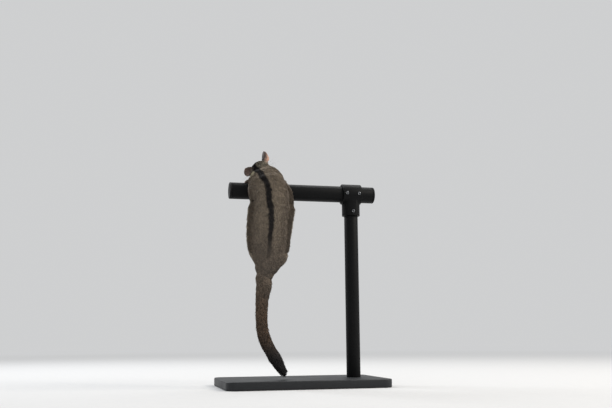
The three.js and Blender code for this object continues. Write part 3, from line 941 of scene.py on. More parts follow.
    def read(self) -> None:
        """Reads the finished skin into tables: places, normals, owners, and lie and size of the fur."""
        mesh = self.piece.data
        self.rows, self.edges = self.tables(mesh)
        self.outwards = self.normals(mesh)
        mesh.calc_loop_triangles()
        self.triangles = table_of(mesh.loop_triangles, "vertices", 3, np.int32)
        self.owner = self.labels(self.rows + self.outwards)
        lie = np.zeros_like(self.rows)
        for number, name in enumerate(FLESH):
            chosen = self.owner == number
            lie[chosen] = self.bones.lie(name, self.rows[chosen])
        lie = self.spread(lie, self.edges, self.lie_spread)
        self.lie = unit(lie - self.outwards * dot(lie, self.outwards)[:, None])
        styles = [Region.of(name).value for name in FLESH]
        self.length = self.field([style.length for style in styles], self.length_spread)
        self.length *= self.snout(self.rows)
        self.width = self.field([style.width for style in styles], self.length_spread)
        self.lift = self.field([style.lift for style in styles], self.lift_spread)
        self.density = self.field([style.density for style in styles], self.density_spread)
        for eye in self.bones.eyes.values():
            away = distance(self.rows, eye) - self.bones.eye_radius
            self.length *= between(self.rim_length, 1, ramp(*self.rim_reach, away))
            self.density *= (away > self.rim_margin)
        away = distance(self.rows, self.bones.nose)
        off_muzzle = ramp(*self.muzzle_reach, away)
        self.density *= 1 + self.muzzle_density * (1 - off_muzzle)
        self.width *= between(self.muzzle_width, 1, off_muzzle)
        self.density *= ramp(*self.lips_reach, self.muzzle.from_mouth(self.rows))
        self.thin_on_paws()

    def thin_on_paws(self) -> None:
        """Lets the fur of the paws fade from wrist and ankle towards the naked digits."""
        for number, name in enumerate(FLESH):
            if Region.of(name) not in (Region.HAND, Region.FOOT):
                continue
            chosen = self.owner == number
            furred = 1 - ramp(*self.paw_reach, self.bones.reach(name, self.rows[chosen]))
            for table, (bare, more) in ((self.density, self.paw_density), (self.length, self.paw_length)):
                table[chosen] *= bare + more * furred

    def field(self, per_node: Sequence[float], rounds: int) -> Array:
        """A value for each node, evened out over the skin."""
        return self.spread(np.array(per_node, float)[self.owner], self.edges, rounds)


@dataclass(frozen=True)
class Palette:
    """The colours of the coat and of the naked skin."""

    back: Colour = srgb(128, 116, 101)
    flank: Colour = srgb(97, 86, 77)
    rump: Colour = srgb(106, 95, 84)
    stripe: Colour = srgb(25, 21, 20)
    belly: Colour = srgb(220, 208, 186)
    crown: Colour = srgb(146, 138, 122)
    muzzle: Colour = srgb(146, 134, 117)
    cheek: Colour = srgb(206, 197, 178)
    pale_patch: Colour = srgb(212, 205, 174)
    eye_ring: Colour = srgb(28, 23, 20)
    ear_patch: Colour = srgb(30, 25, 22)
    arm: Colour = srgb(106, 94, 84)
    tail_root: Colour = srgb(103, 91, 79)
    tail_middle: Colour = srgb(92, 72, 56)
    tail_tip: Colour = srgb(37, 35, 37)
    membrane: Colour = srgb(88, 76, 64)
    ear: Colour = srgb(88, 74, 67)
    ear_inside: Colour = srgb(182, 147, 130)
    ear_edge: Colour = srgb(56, 47, 44)
    nose: Colour = srgb(184, 124, 116)
    nostril: Colour = srgb(58, 28, 26)
    lips: Colour = srgb(70, 48, 42)
    paw: Colour = srgb(184, 146, 134)

    def row(self, name: str) -> Array:
        """One of the colours as red, green and blue."""
        return np.array(getattr(self, name)[:3])


@dataclass(frozen=True)
class Fades:
    """From where to where each marking comes in or runs out.

    The first group is of heights from the grip in millimetres, the second of how far the skin faces
    a way, the third of shares of a length, and the rest of distances on and round the head.
    """

    rump: Span = (-48.0, -98.0)
    tail_middle: Span = (130.0, 185.0)
    tail_tip: Span = (195.0, 250.0)

    flank: Span = (0.45, 0.85)
    belly: Span = (0.36, 0.72)
    lower_limb: Span = (0.35, 0.85)
    ear_inside: Span = (-0.1, 0.4)
    ear_behind: Span = (0.25, -0.2)

    paw: Span = (0.15, 0.5)
    stripe_edge: Span = (0.7, 1.25)
    crown_edge: Span = (0.6, 1.3)

    stripe_depth: Span = (7.0, 12.0)
    pale_patch: Span = (3.5, 9.0)
    cheek_down: Span = (-2.5, -8.0)
    cheek_ahead: Span = (-15.0, -7.0)
    muzzle: Span = (7.0, 13.0)
    eye_ring: Span = (6.2, 9.0)
    ear_shade: Span = (7.0, 15.0)
    ear_edge: Span = (1.0, 5.0)
    crown_up: Span = (1.0, 4.0)
    crown_ahead: Span = (17.0, 9.0)
    crown_width: Span = (12.0, -10.0)
    lips: Span = (0.35, 1.0)
    split: Span = (0.1, 0.6)
    nostril: Span = (0.5, 1.05)


@dataclass(frozen=True)
class Strengths:
    """How much of each marking's colour covers what lies below, from 0 to 1."""

    flank: float = 0.6
    pale_patch: float = 0.85
    muzzle: float = 0.8
    ear_patch: float = 0.9
    ear_shade: float = 0.85
    ear_edge: float = 0.45
    lips: float = 0.9
    split: float = 0.5
    patches: float = 0.07
    coarse: float = 0.06


@dataclass(frozen=True)
class Markings:
    """Where each colour of the coat lies. Places are in millimetres from the grip on the bar."""

    palette: Palette = Palette()
    fades: Fades = Fades()
    strengths: Strengths = Strengths()
    # How far the middle of the back faces to the left, between the flanks.
    flank_lean: float = 0.18
    # The crown stripe's half width at its front, and what it gains backwards.
    crown_width: Span = (1.4, 3.0)
    bare_edge: int = 3
    node_spread: int = 6
    bare_spread: int = 4
    fur_spread: int = 40
    patch_size: float = 5.0
    coarse_size: float = 16.0
    # The dorsal stripe from the crown to the rump: across, away, up, half width, how dark.
    stripe: tuple[tuple[float, float, float, float, float], ...] = (
        (-25.5, 6.0, 42.5, 4.2, 1.0), (-27.0, -2.6, 38.0, 4.8, 1.0), (-22.5, -10.0, 32.6, 4.6, 1.0),
        (-20.0, -23.7, 25.2, 4.3, 1.0), (-16.8, -36.4, 16.7, 4.3, 1.0), (-14.4, -42.2, 9.7, 4.3, 1.0),
        (-12.8, -47.7, 1.2, 4.2, 1.0), (-12.5, -51.1, -6.8, 4.2, 1.0), (-11.8, -55.1, -22.2, 4.1, 1.0),
        (-9.2, -57.0, -37.1, 4.0, 1.0), (-9.8, -57.1, -53.1, 3.9, 1.0), (-11.0, -56.3, -66.1, 3.7, 1.0),
        (-11.4, -54.7, -80.3, 3.4, 0.85), (-11.7, -52.3, -94.5, 3.1, 0.5), (-11.3, -49.0, -108.6, 2.8, 0.1),
    )
    # The way that each ear opens, so that its back is dark and its inside flesh coloured.
    ear_opens: tuple[tuple[str, Point], ...] = (
        ("left", (-0.85, 0.5, -0.45)), ("right", (0.93, -0.35, -0.1)),
    )
    # The middle of the pale patch behind the left ear.
    pale_patch: Point = (-31.5, -10.0, 27.0)
    # How much of the flesh colour shows in each ear: the left one lies in its own shade, so its inside is
    # painted dark as painted shade.
    ear_flush_and_painted_shade: tuple[tuple[str, float], ...] = (("left", 0.12), ("right", 1.0))
    # From where to where the dark patch round each ear's root fades, in millimetres.
    ear_patch_reach: tuple[tuple[str, Span], ...] = (("left", (2.5, 5.0)), ("right", (5.0, 8.5)))

    def on_stripe(self, rows: Array, outwards: Array) -> Array:
        """How far points are inside the dorsal stripe, measured along the skin.

        Args:
            rows: the skin's points from the grip.
            outwards: its normals.

        Returns:
            A share from 0 to 1 for each point.
        """
        inside = np.zeros(len(rows))
        for first, second in zip(self.stripe, self.stripe[1:]):
            start, end = np.array(first), np.array(second)
            way = (end - start)[:3]
            share = np.clip((rows - start[:3]) @ way / (way @ way), 0, 1)
            here = start + (end - start) * share[:, None]
            off = rows - here[:, :3]
            depth = dot(off, outwards)
            flat = np.linalg.norm(off - outwards * depth[:, None], axis=1)
            near = 1 - ramp(*self.fades.stripe_depth, np.abs(depth))
            width, strength = here[:, 3], here[:, 4]
            inside = np.maximum(inside, near * strength * (1 - ramp(*self.fades.stripe_edge, flat / width)))
        return inside

    def colours(self, skin: Skin) -> Array:
        """The coat's colour at each point of the skin.

        Args:
            skin: the finished skin, with its tables read.

        Returns:
            One row of red, green and blue for each vertex.
        """
        rows = skin.rows - np.array(GRIP)
        colour = np.empty_like(rows)
        for number, name in enumerate(FLESH):
            chosen = skin.owner == number
            colour[chosen] = self.region_colour(name, skin, chosen)
        colour = skin.spread(colour, skin.edges, self.node_spread)
        furred = skin.field([not Region.of(name).bare for name in FLESH], self.bare_spread)
        colour = mix(colour, skin.spread(colour, skin.edges, self.fur_spread), furred ** self.bare_edge)
        for mark in (self.cheeks, self.eyes_and_ears, self.nose_and_crown):
            colour = mark(colour, skin, skin.field([name == "head" for name in FLESH], 2))
        trunk = skin.field([name in ("torso", "neck", "head") for name in FLESH], 3)
        from_patch = distance(rows, np.array(self.pale_patch))
        behind_ear = 1 - ramp(*self.fades.pale_patch, from_patch)
        pale = behind_ear * trunk * self.strengths.pale_patch
        colour = mix(colour, self.palette.row("pale_patch"), pale)
        stripe = self.on_stripe(rows, skin.outwards) * trunk
        colour = mix(colour, self.palette.row("stripe"), stripe)
        patches = Ripple(self.patch_size, SEED + 1).at(skin.rows)
        coarse = Ripple(self.coarse_size, SEED + 2).at(skin.rows)
        tone = 1 + self.strengths.patches * patches + self.strengths.coarse * coarse
        return colour * tone[:, None]

    def region_colour(self, name: str, skin: Skin, chosen: Array) -> Array:
        """The ground colour of one node's share of the skin.

        Args:
            name: the node.
            skin: the finished skin.
            chosen: which of its vertices are the node's.

        Returns:
            One row of red, green and blue for each chosen vertex.
        """
        region = Region.of(name)
        fades = self.fades
        rows = skin.rows[chosen] - np.array(GRIP)
        out = skin.outwards[chosen]
        plain = np.ones((len(rows), 3))
        row = self.palette.row
        under = ramp(*fades.belly, out[:, 1])
        if region in (Region.TORSO, Region.NECK):
            down = ramp(*fades.rump, rows[:, 2])
            flank = ramp(*fades.flank, np.abs(out[:, 0] + self.flank_lean)) * self.strengths.flank
            ground = mix(mix(plain * row("back"), row("flank"), flank), row("rump"), down)
            return mix(ground, row("belly"), under)
        if region in (Region.HEAD, Region.NOSE):
            return plain * row("crown" if region is Region.HEAD else "nose")
        if region in (Region.UPPER_ARM, Region.THIGH, Region.MEMBRANE):
            top = "membrane" if region is Region.MEMBRANE else "back"
            return mix(plain * row(top), row("belly"), under)
        if region in (Region.FOREARM, Region.SHANK):
            return mix(plain * row("arm"), row("belly"), ramp(*fades.lower_limb, out[:, 1]))
        if region in (Region.HAND, Region.FOOT):
            bare = ramp(*fades.paw, skin.bones.reach(name, skin.rows[chosen]))
            return mix(plain * row("arm"), row("paw"), bare)
        if region is Region.TAIL:
            down = -rows[:, 2]
            middle = ramp(*fades.tail_middle, down)
            colour = mix(plain * row("tail_root"), row("tail_middle"), middle)
            return mix(colour, row("tail_tip"), ramp(*fades.tail_tip, down))
        side = name.split("_")[1]
        inside = ramp(*fades.ear_inside, out @ self.ear_opening(side))
        # The left ear's small flesh share is painted shade inside it.
        return mix(plain * row("ear"), row("ear_inside"), inside * dict(self.ear_flush_and_painted_shade)[side])

    def ear_opening(self, side: str) -> Array:
        """The way that an ear opens, of length one."""
        return unit(np.array(dict(self.ear_opens)[side]))

    def cheeks(self, colour: Array, skin: Skin, head: Array) -> Array:
        """Lays on the cheeks and the muzzle.

        Args:
            colour: the colours so far.
            skin: the finished skin.
            head: how much each point belongs to the head.

        Returns:
            The new colours.
        """
        row = self.palette.row
        away = skin.rows - skin.bones.between
        ahead = away @ skin.bones.ahead
        above = away @ skin.bones.crown
        low = ramp(*self.fades.cheek_down, above) * ramp(*self.fades.cheek_ahead, ahead) * head
        colour = mix(colour, row("cheek"), low)
        muzzle = ramp(*self.fades.muzzle, ahead) * head * (1 - low)
        return mix(colour, row("muzzle"), muzzle * self.strengths.muzzle)

    def eyes_and_ears(self, colour: Array, skin: Skin, head: Array) -> Array:
        """Lays on the eyes' dark rings, the dark at the ears' roots and the ears' backs and edges.

        Args:
            colour: the colours so far.
            skin: the finished skin.
            head: how much each point belongs to the head.

        Returns:
            The new colours.
        """
        row = self.palette.row
        fades, strengths = self.fades, self.strengths
        for side, eye in skin.bones.eyes.items():
            ring = 1 - ramp(*fades.eye_ring, distance(skin.rows, eye))
            colour = mix(colour, row("eye_ring"), ring * head)
            ear = skin.bones.points[f"ear_{side}"]
            root = ear[np.argmin(distance(ear, skin.bones.middles["head"]))]
            tip = ear[np.argmax(distance(ear, root))]
            from_root = distance(skin.rows, root)
            dark = 1 - ramp(*dict(self.ear_patch_reach)[side], from_root)
            colour = mix(colour, row("ear_patch"), dark * head * strengths.ear_patch)
            on_ear = skin.field([name == f"ear_{side}" for name in FLESH], 1)
            behind = ramp(*fades.ear_behind, skin.outwards @ self.ear_opening(side))
            shade = on_ear * behind * (1 - ramp(*fades.ear_shade, from_root))
            colour = mix(colour, row("ear_patch"), shade * strengths.ear_shade)
            edge = on_ear * (1 - ramp(*fades.ear_edge, distance(skin.rows, tip)))
            colour = mix(colour, row("ear_edge"), edge * strengths.ear_edge)
        return colour

    def nose_and_crown(self, colour: Array, skin: Skin, head: Array) -> Array:
        """Lays on the stripe of the crown, then the lips, the nose's groove and the nostrils.

        Args:
            colour: the colours so far.
            skin: the finished skin.
            head: how much each point belongs to the head.

        Returns:
            The new colours.
        """
        row = self.palette.row
        fades = self.fades
        muzzle = skin.muzzle
        away = skin.rows - skin.bones.between
        across = np.abs(away @ skin.bones.right)
        ahead = away @ skin.bones.ahead
        above = away @ skin.bones.crown
        top = head * ramp(*fades.crown_up, above) * ramp(*fades.crown_ahead, ahead)
        least, more = self.crown_width
        width = least + more * ramp(*fades.crown_width, ahead)
        colour = mix(colour, row("stripe"), top * (1 - ramp(*fades.crown_edge, across / width)))
        lips = 1 - ramp(*fades.lips, muzzle.from_mouth(skin.rows))
        colour = mix(colour, row("lips"), self.strengths.lips * lips)
        on_nose = skin.field([name == "nose" for name in FLESH], 1)
        split = on_nose * (1 - ramp(*fades.split, muzzle.from_split(skin.rows)))
        colour = mix(colour, row("lips"), self.strengths.split * split)
        return mix(colour, row("nostril"), 1 - ramp(*fades.nostril, muzzle.from_nostrils(skin.rows)))


@dataclass(frozen=True)
class TuftShape:
    """A three-sided tuft: its faces, and how far along and across it each corner lies."""

    faces: tuple[tuple[int, int, int], ...]
    along: tuple[float, ...]
    across: tuple[float, ...]


STRAIGHT_TUFT = TuftShape(
    faces=((1, 2, 3), (2, 0, 3), (0, 1, 3), (0, 2, 1)), along=(0, 0, 0, 1), across=(-0.5, 0.5, 0, 0),
)
BENT_TUFT = TuftShape(
    faces=((1, 2, 5), (1, 5, 4), (0, 3, 5), (0, 5, 2), (0, 1, 4), (0, 4, 3), (0, 2, 1), (4, 5, 6),
           (5, 3, 6), (3, 4, 6)),
    along=(0, 0, 0, 0.5, 0.5, 0.5, 1), across=(-0.5, 0.5, 0, -0.5, 0.5, 0, 0),
)


@dataclass
class Coat:
    """The fur: tufts that stand on the skin and lie along the body. Sizes in millimetres."""

    skin: Skin
    unwrap: Unwrap
    colours: Array
    face_limit: int = 190_000
    # One tuft in so many draws in its neighbours, fading over this distance, by this share.
    clump_count: int = 12
    clump_reach: Span = (1.56, 4.16)
    gather: float = 0.26
    patch: float = 0.003
    bar_clearance: float = 12.9
    # How the tufts sway and swell with the soft patterns, and how much each differs by chance.
    sway_turn: float = 0.16
    turn_chance: float = 0.12
    swell_lift: float = 0.12
    lift_chance: float = 2.6
    lift_limits: Span = (0.03, 0.9)
    swell_length: float = 0.06
    length_chance: float = 0.16
    least_length: float = 0.4
    width_chance: Span = (0.75, 1.25)
    # A tuft's shape as shares: its sunk root, the rise of its middle and tip, its ridge and root.
    sink_share: float = 0.05
    middle_rise: float = 0.62
    tip_rise: float = 0.95
    ridge_share: float = 0.34
    root_share: float = 0.8
    # Tone: the soft pattern, chance, limits, and how many guard hairs are how dark.
    shade_tone: float = 0.1
    tone_chance: float = 0.16
    tone_limits: Span = (0.4, 1.7)
    guard_hairs: Span = (0.1, 0.6)
    # Painted shade and light along each tuft: brightness at the root and what it gains by the given shares of
    # the length.
    painted_shade_and_light: Span = (0.62, 0.55)
    painted_shade_fade: Span = (0.0, 0.9)
    # The pale band near the tip of light fur: its linear colour, place and strength.
    band_colour: Point = (0.30, 0.27, 0.22)
    band_light: Span = (0.01, 0.06)
    band_place: Span = (0.6, 1.0)
    band_strength: float = 0.1

    def __post_init__(self) -> None:
        """Starts the draw and the soft patterns that vary the coat."""
        self.draw = np.random.default_rng(SEED)
        self.sway = Ripple(7.0, SEED + 3)
        self.swell = Ripple(9.0, SEED + 4)
        self.shade = Ripple(3.0, SEED + 5)

    def build(self, name: str, nodes: Sequence[str], slot: str) -> list[Piece]:
        """Grows the coat of some nodes as one or more pieces.

        Args:
            name: the start of each piece's name.
            nodes: the CAD nodes that the coat stands on.
            slot: the name of its finish's slot, only logged.

        Returns:
            The pieces, each below the limit of faces.
        """
        shape = BENT_TUFT if Region.of(nodes[0]).value.steps == 2 else STRAIGHT_TUFT
        roots = self.roots(nodes)
        count = math.ceil(len(roots["face"]) * len(shape.faces) / self.face_limit)
        order = np.argsort(-roots["at"][:, 2], kind="stable")
        pieces = []
        for i, chosen in enumerate(np.array_split(order, count)):
            full = name if count == 1 else f"{name}_{i + 1}"
            piece = show(self.tufts({key: value[chosen] for key, value in roots.items()}, shape), full)
            hand_in(piece, slot, [])
            pieces.append(piece)
        return pieces

    def roots(self, nodes: Sequence[str]) -> dict[str, Array]:
        """Draws where the tufts stand, and reads the skin there.

        Args:
            nodes: the CAD nodes that the coat stands on.

        Returns:
            Tables with a row for each tuft, by name.
        """
        skin = self.skin
        wanted = np.isin(skin.owner, [FLESH.index(node) for node in nodes])
        corners = skin.rows[skin.triangles]
        cross = np.cross(corners[:, 1] - corners[:, 0], corners[:, 2] - corners[:, 0])
        area = np.linalg.norm(cross, axis=1) / 2
        weight = area * skin.density[skin.triangles].mean(1) * wanted[skin.triangles[:, 0]]
        count = int(weight.sum())
        total = np.cumsum(weight)
        face = np.searchsorted(total, np.sort(self.draw.uniform(0, total[-1], count)))
        share = self.draw.uniform(size=(count, 2))
        folded = share.sum(1) > 1
        share[folded] = 1 - share[folded]
        share = np.column_stack([1 - share.sum(1), share])
        corner = skin.triangles[face]

        def read(table: Array) -> Array:
            """A table of the skin's vertices at the roots."""
            return np.einsum("ij,ij...->i...", share, table[corner])

        return {
            "face": face, "at": read(skin.rows), "out": unit(read(skin.outwards)),
            "lie": read(skin.lie), "length": read(skin.length), "width": read(skin.width),
            "lift": read(skin.lift), "colour": read(self.colours), "owner": skin.owner[corner[:, 0]],
        }

    def tufts(self, roots: dict[str, Array], shape: TuftShape) -> Mesh:
        """Turns roots into tapered three-sided tufts.

        Args:
            roots: the tables from roots().
            shape: a tuft that bends half way, or a straight one.

        Returns:
            The mesh with its colours and its flat map.
        """
        at, out = roots["at"], roots["out"]
        count = len(at)
        draw = self.draw
        lie = unit(roots["lie"] - out * dot(roots["lie"], out)[:, None])
        side = np.cross(out, lie)
        turn = self.sway_turn * self.sway.at(at) + draw.normal(0, self.turn_chance, count)
        lie = lie * np.cos(turn)[:, None] + side * np.sin(turn)[:, None]
        side = np.cross(out, lie)
        degrees = roots["lift"] * (1 + self.swell_lift * self.swell.at(at))
        lift = np.clip(np.radians(degrees + draw.normal(0, self.lift_chance, count)), *self.lift_limits)
        more = self.swell_length * self.swell.at(at[:, ::-1])
        length = roots["length"] * (1 + more + draw.normal(0, self.length_chance, count))
        width = roots["width"] * draw.uniform(*self.width_chance, count)
        stretch = np.maximum(length, self.least_length)[:, None]
        rise = np.sin(lift)[:, None]
        run = np.cos(lift)[:, None]
        start = at - out * (self.sink_share * stretch)
        half = start + lie * (0.5 * run * stretch) + out * (self.middle_rise * rise * stretch)
        tip = start + lie * (run * stretch) + out * (self.tip_rise * rise * stretch)
        tip = self.gathered(at, tip)
        half = self.clear_of_bar(half)
        tip = self.clear_of_bar(tip)
        across = side * width[:, None] / 2
        ridge = out * (width * self.ridge_share)[:, None]
        corners = [start - across, start + across, start + ridge, tip]
        if shape is BENT_TUFT:
            narrow = self.root_share
            corners = [start - across * narrow, start + across * narrow, start + ridge * narrow,
                       half - across, half + across, half + ridge, tip]
        points = np.stack(corners, axis=1).reshape(-1, 3)
        first = np.arange(count) * len(corners)
        triangles = (np.array(shape.faces)[None] + first[:, None, None]).reshape(-1, 3)
        mesh = mesh_of("tufts", points, triangles)
        paint(mesh, self.tinted(roots, np.array(shape.along)))
        self.lay_flat(mesh, roots, triangles, shape)
        return mesh

    def gathered(self, at: Array, tips: Array) -> Array:
        """Draws the tips of neighbouring tufts together into locks.

        Args:
            at: the tufts' roots.
            tips: their tips.

        Returns:
            The moved tips.
        """
        count = max(1, int(len(at) / self.clump_count))
        chosen = self.draw.choice(len(at), count, replace=False)
        tree = tree_of(at[chosen])
        nearest = np.fromiter((tree.find(row)[1] for row in at.tolist()), np.int64, len(at))
        middle = tips[chosen][nearest]
        away = distance(at, at[chosen][nearest])
        pull = self.gather * (1 - ramp(*self.clump_reach, away))
        return mix(tips, middle, pull)

    def clear_of_bar(self, rows: Array) -> Array:
        """Pushes points that would lie in the bar out to its surface."""
        axis = np.array(GRIP[1:])
        flat = rows[:, 1:] - axis
        reach = np.linalg.norm(flat, axis=1)
        scale = np.maximum(self.bar_clearance / np.maximum(reach, SMALL), 1.0)
        moved = rows.copy()
        moved[:, 1:] = axis + flat * scale[:, None]
        return moved

    def tinted(self, roots: dict[str, Array], along: Array) -> Array:
        """Colours the tufts: painted shade darkens each towards its root, painted light brightens it towards
        its tip, and light fur is banded pale near the tip.

        Args:
            roots: the tables from roots().
            along: how far along the tuft each corner lies.

        Returns:
            One row of red, green and blue for each corner of each tuft.
        """
        count = len(roots["at"])
        tone = 1 + self.shade_tone * self.shade.at(roots["at"]) + self.draw.normal(0, self.tone_chance, count)
        guard_share, guard_tone = self.guard_hairs
        guard = self.draw.uniform(size=count) < guard_share
        tone = np.where(guard, tone * guard_tone, tone)
        base = roots["colour"] * np.clip(tone, *self.tone_limits)[:, None]
        # Painted shade deep in the coat at the root, rising to painted light at the tip.
        dark, gain = self.painted_shade_and_light
        depth = dark + gain * ramp(*self.painted_shade_fade, along)
        colour = base[:, None, :] * depth[None, :, None]
        light = ramp(*self.band_light, base.mean(1))
        band = ramp(*self.band_place, along)[None, :] * self.band_strength * light[:, None]
        colour = colour + (np.array(self.band_colour) - colour) * band[:, :, None]
        return colour.reshape(-1, 3)

    def lay_flat(self, mesh: Mesh, roots: dict[str, Array], triangles: Array,
                 shape: TuftShape) -> None:
        """Gives each tuft a small patch at its root's place on the flat map of the skin.

        Args:
            mesh: the tufts.
            roots: the tables from roots().
            triangles: the mesh's faces as vertex numbers.
            shape: the shape of each tuft.
        """
        middle = np.zeros((len(roots["at"]), 2))
        for number in np.unique(roots["owner"]):
            chosen = roots["owner"] == number
            middle[chosen] = self.unwrap.patch_places(FLESH[number], roots["at"][chosen])
        spot = np.column_stack([np.array(shape.across), np.array(shape.along) - 0.5]) * self.patch
        flat = (middle[:, None, :] + spot[None]).reshape(-1, 2)
        layer = mesh.uv_layers.new(name=BAKE_MAP)
        layer.data.foreach_set("uv", flat[triangles.ravel()].astype(np.float32).ravel())


@dataclass(frozen=True)
class FurFinish:
    """Matt fur: the coat's own colours with a faint dusty sheen."""

    roughness: float = 0.78
    specular: float = 0.18
    sheen: float = 0.05
    sheen_roughness: float = 0.6
    specks: float = 900.0
    speck_tones: Span = (0.78, 1.22)

    def sheet(self, name: str) -> Sheet:
        """The coat's colours with a fine grizzle, as the start of a material."""
        sheet = Sheet(name, Roughness=self.roughness, Specular_IOR_Level=self.specular,
                      Sheen_Weight=self.sheen, Sheen_Roughness=self.sheen_roughness)
        specks = sheet.noise(sheet.object_place(), self.specks)
        varied = sheet.span(specks.outputs["Fac"], *self.speck_tones)
        sheet.base_colour(sheet.blend("MULTIPLY", sheet.coat_colour(), varied, 1.0))
        return sheet

    def build(self, name: str) -> Material:
        """Makes the material for the tufts."""
        return self.sheet(name).material


@dataclass(frozen=True)
class UnderFurFinish(FurFinish):
    """The flat under coat on the skin: fine hairs as bump, drawn along the lie."""

    hairs_across: float = 3.2
    hairs_along: float = 0.35
    hair_strength: float = 0.7
    hair_depth: float = 0.0006

    def build(self, name: str) -> Material:
        """Makes the material for the skin below the tufts."""
        sheet = self.sheet(name)
        flat = sheet.add("UVMap")
        flat.uv_map = LIE_MAP
        scale = sheet.add("Mapping", Scale=(self.hairs_across, self.hairs_along, 1.0))
        sheet.link(flat.outputs["UV"], scale.inputs["Vector"])
        hairs = sheet.noise(scale.outputs["Vector"], 1.0, 4.0)
        sheet.bump(hairs.outputs["Fac"], self.hair_strength, self.hair_depth)
        return sheet.material


@dataclass(frozen=True)
class BareSkinFinish:
    """Naked skin of ears, paws and nose: fine creases, blood under the surface, a little gloss."""

    roughness: float = 0.68
    specular: float = 0.25
    blood: float = 0.14
    blood_reach: Point = (0.002, 0.0008, 0.0005)
    blood_scale: float = 0.6
    blotches: float = 420.0
    blotch_tones: Span = (0.7, 1.3)
    creases: float = 1500.0
    crease_strength: float = 0.35
    crease_depth: float = 0.0002

    def build(self, name: str) -> Material:
        """Makes the material."""
        sheet = Sheet(name, Roughness=self.roughness, Specular_IOR_Level=self.specular,
                      Subsurface_Weight=self.blood, Subsurface_Radius=self.blood_reach,
                      Subsurface_Scale=self.blood_scale)
        here = sheet.object_place()
        blotches = sheet.noise(here, self.blotches, 4.0)
        varied = sheet.span(blotches.outputs["Fac"], *self.blotch_tones)
        sheet.base_colour(sheet.blend("MULTIPLY", sheet.coat_colour(), varied, 1.0))
        cells = sheet.add("TexVoronoi", Scale=self.creases)
        sheet.link(here, cells.inputs["Vector"])
        sheet.bump(cells.outputs["Distance"], self.crease_strength, self.crease_depth)
        return sheet.material


@dataclass(frozen=True)
class EyeFinish:
    """A large dark eye: almost black, a trace of brown at the rim, wet and very glossy."""

    pupil: Colour = srgb(5, 4, 5)
    iris: Colour = srgb(26, 16, 12)
    roughness: float = 0.08
    specular: float = 0.45
    wet: float = 0.4
    wet_roughness: float = 0.02
    streaks: float = 1400.0
    streak_share: Span = (-0.2, 0.7)

    def build(self, name: str) -> Material:
        """Makes the material."""
        sheet = Sheet(name, Roughness=self.roughness, Specular_IOR_Level=self.specular,
                      Coat_Weight=self.wet, Coat_Roughness=self.wet_roughness)
        streaks = sheet.noise(sheet.object_place(), self.streaks, 4.0)
        brown = sheet.span(streaks.outputs["Fac"], *self.streak_share)
        sheet.base_colour(sheet.blend("MIX", self.pupil, self.iris, brown))
        return sheet.material


@dataclass(frozen=True)
class HornFinish:
    """Claw horn and whiskers: smooth, slightly clear, with fine lengthwise colour."""

    dark: Colour
    pale: Colour
    roughness: float = 0.3
    clear: float = 0.1
    clear_reach: Point = (0.001, 0.0006, 0.0004)
    clear_scale: float = 0.5
    grain: float = 1800.0
    grain_strength: float = 0.15
    grain_depth: float = 0.0001

    def build(self, name: str) -> Material:
        """Makes the material."""
        sheet = Sheet(name, Roughness=self.roughness, Subsurface_Weight=self.clear,
                      Subsurface_Radius=self.clear_reach, Subsurface_Scale=self.clear_scale)
        grain = sheet.noise(sheet.object_place(), self.grain)
        sheet.base_colour(sheet.blend("MIX", self.dark, self.pale, grain.outputs["Fac"]))
        sheet.bump(grain.outputs["Fac"], self.grain_strength, self.grain_depth)
        return sheet.material


@dataclass(frozen=True)
class PaintFinish:
    """Powder-coated metal or moulded plastic: fine orange peel, dust and rubbed places."""

    colour: Colour
    rubbed: Colour
    roughness: float = 0.42
    metallic: float = 0.0
    specular: float = 0.5
    peel: float = 0.25
    wear: float = 0.35
    dust_scale: float = 38.0
    # How much less and more rough the dusty places are.
    dust_roughness: Span = (0.1, 0.14)
    dust_strength: float = 0.1
    dust_depth: float = 0.0002
    peel_scale: float = 2600.0
    peel_depth: float = 0.00008
    scuff_scale: float = 900.0
    scuff_stretch: Point = (0.12, 1.0, 1.0)
    scuff_from: float = 0.58
    scuff_to: float = 0.78

    def build(self, name: str) -> Material:
        """Makes the material."""
        sheet = Sheet(name, Metallic=self.metallic, Specular_IOR_Level=self.specular)
        here = sheet.object_place()
        broad = sheet.noise(here, self.dust_scale, 6.0)
        fine = sheet.noise(here, self.peel_scale, 2.0)
        scratches = sheet.add("Mapping", Scale=self.scuff_stretch)
        sheet.link(here, scratches.inputs["Vector"])
        scuffs = sheet.noise(scratches.outputs["Vector"], self.scuff_scale, 5.0)
        worn = sheet.add("MapRange", From_Min=self.scuff_from, From_Max=self.scuff_to, To_Max=self.wear)
        sheet.link(scuffs.outputs["Fac"], worn.inputs["Value"])
        sheet.base_colour(sheet.blend("MIX", self.colour, self.rubbed, worn.outputs["Result"]))
        less, more = self.dust_roughness
        rough = sheet.span(broad.outputs["Fac"], self.roughness - less, self.roughness + more)
        sheet.link(rough, sheet.shader.inputs["Roughness"])
        sheet.bump(fine.outputs["Fac"], self.peel, self.peel_depth)
        sheet.bump(broad.outputs["Fac"], self.dust_strength, self.dust_depth)
        return sheet.material


BAR_PAINT = PaintFinish(srgb(10, 11, 12), srgb(34, 36, 39), roughness=0.48, specular=0.12)
PLUG_PLASTIC = PaintFinish(srgb(15, 15, 16), srgb(36, 36, 38), roughness=0.55, specular=0.15, peel=0.4)
BASE_PAINT = PaintFinish(srgb(28, 30, 33), srgb(60, 62, 66), roughness=0.5, specular=0.35, peel=0.6)
SCREW_STEEL = PaintFinish(srgb(120, 122, 126), srgb(160, 162, 166), roughness=0.3, metallic=1.0)
LID_RIM = HornFinish(srgb(16, 13, 12), srgb(30, 24, 22), roughness=0.55)
CLAW_HORN = HornFinish(srgb(70, 56, 48), srgb(150, 130, 112))
WHISKER = HornFinish(srgb(30, 26, 24), srgb(64, 56, 50))


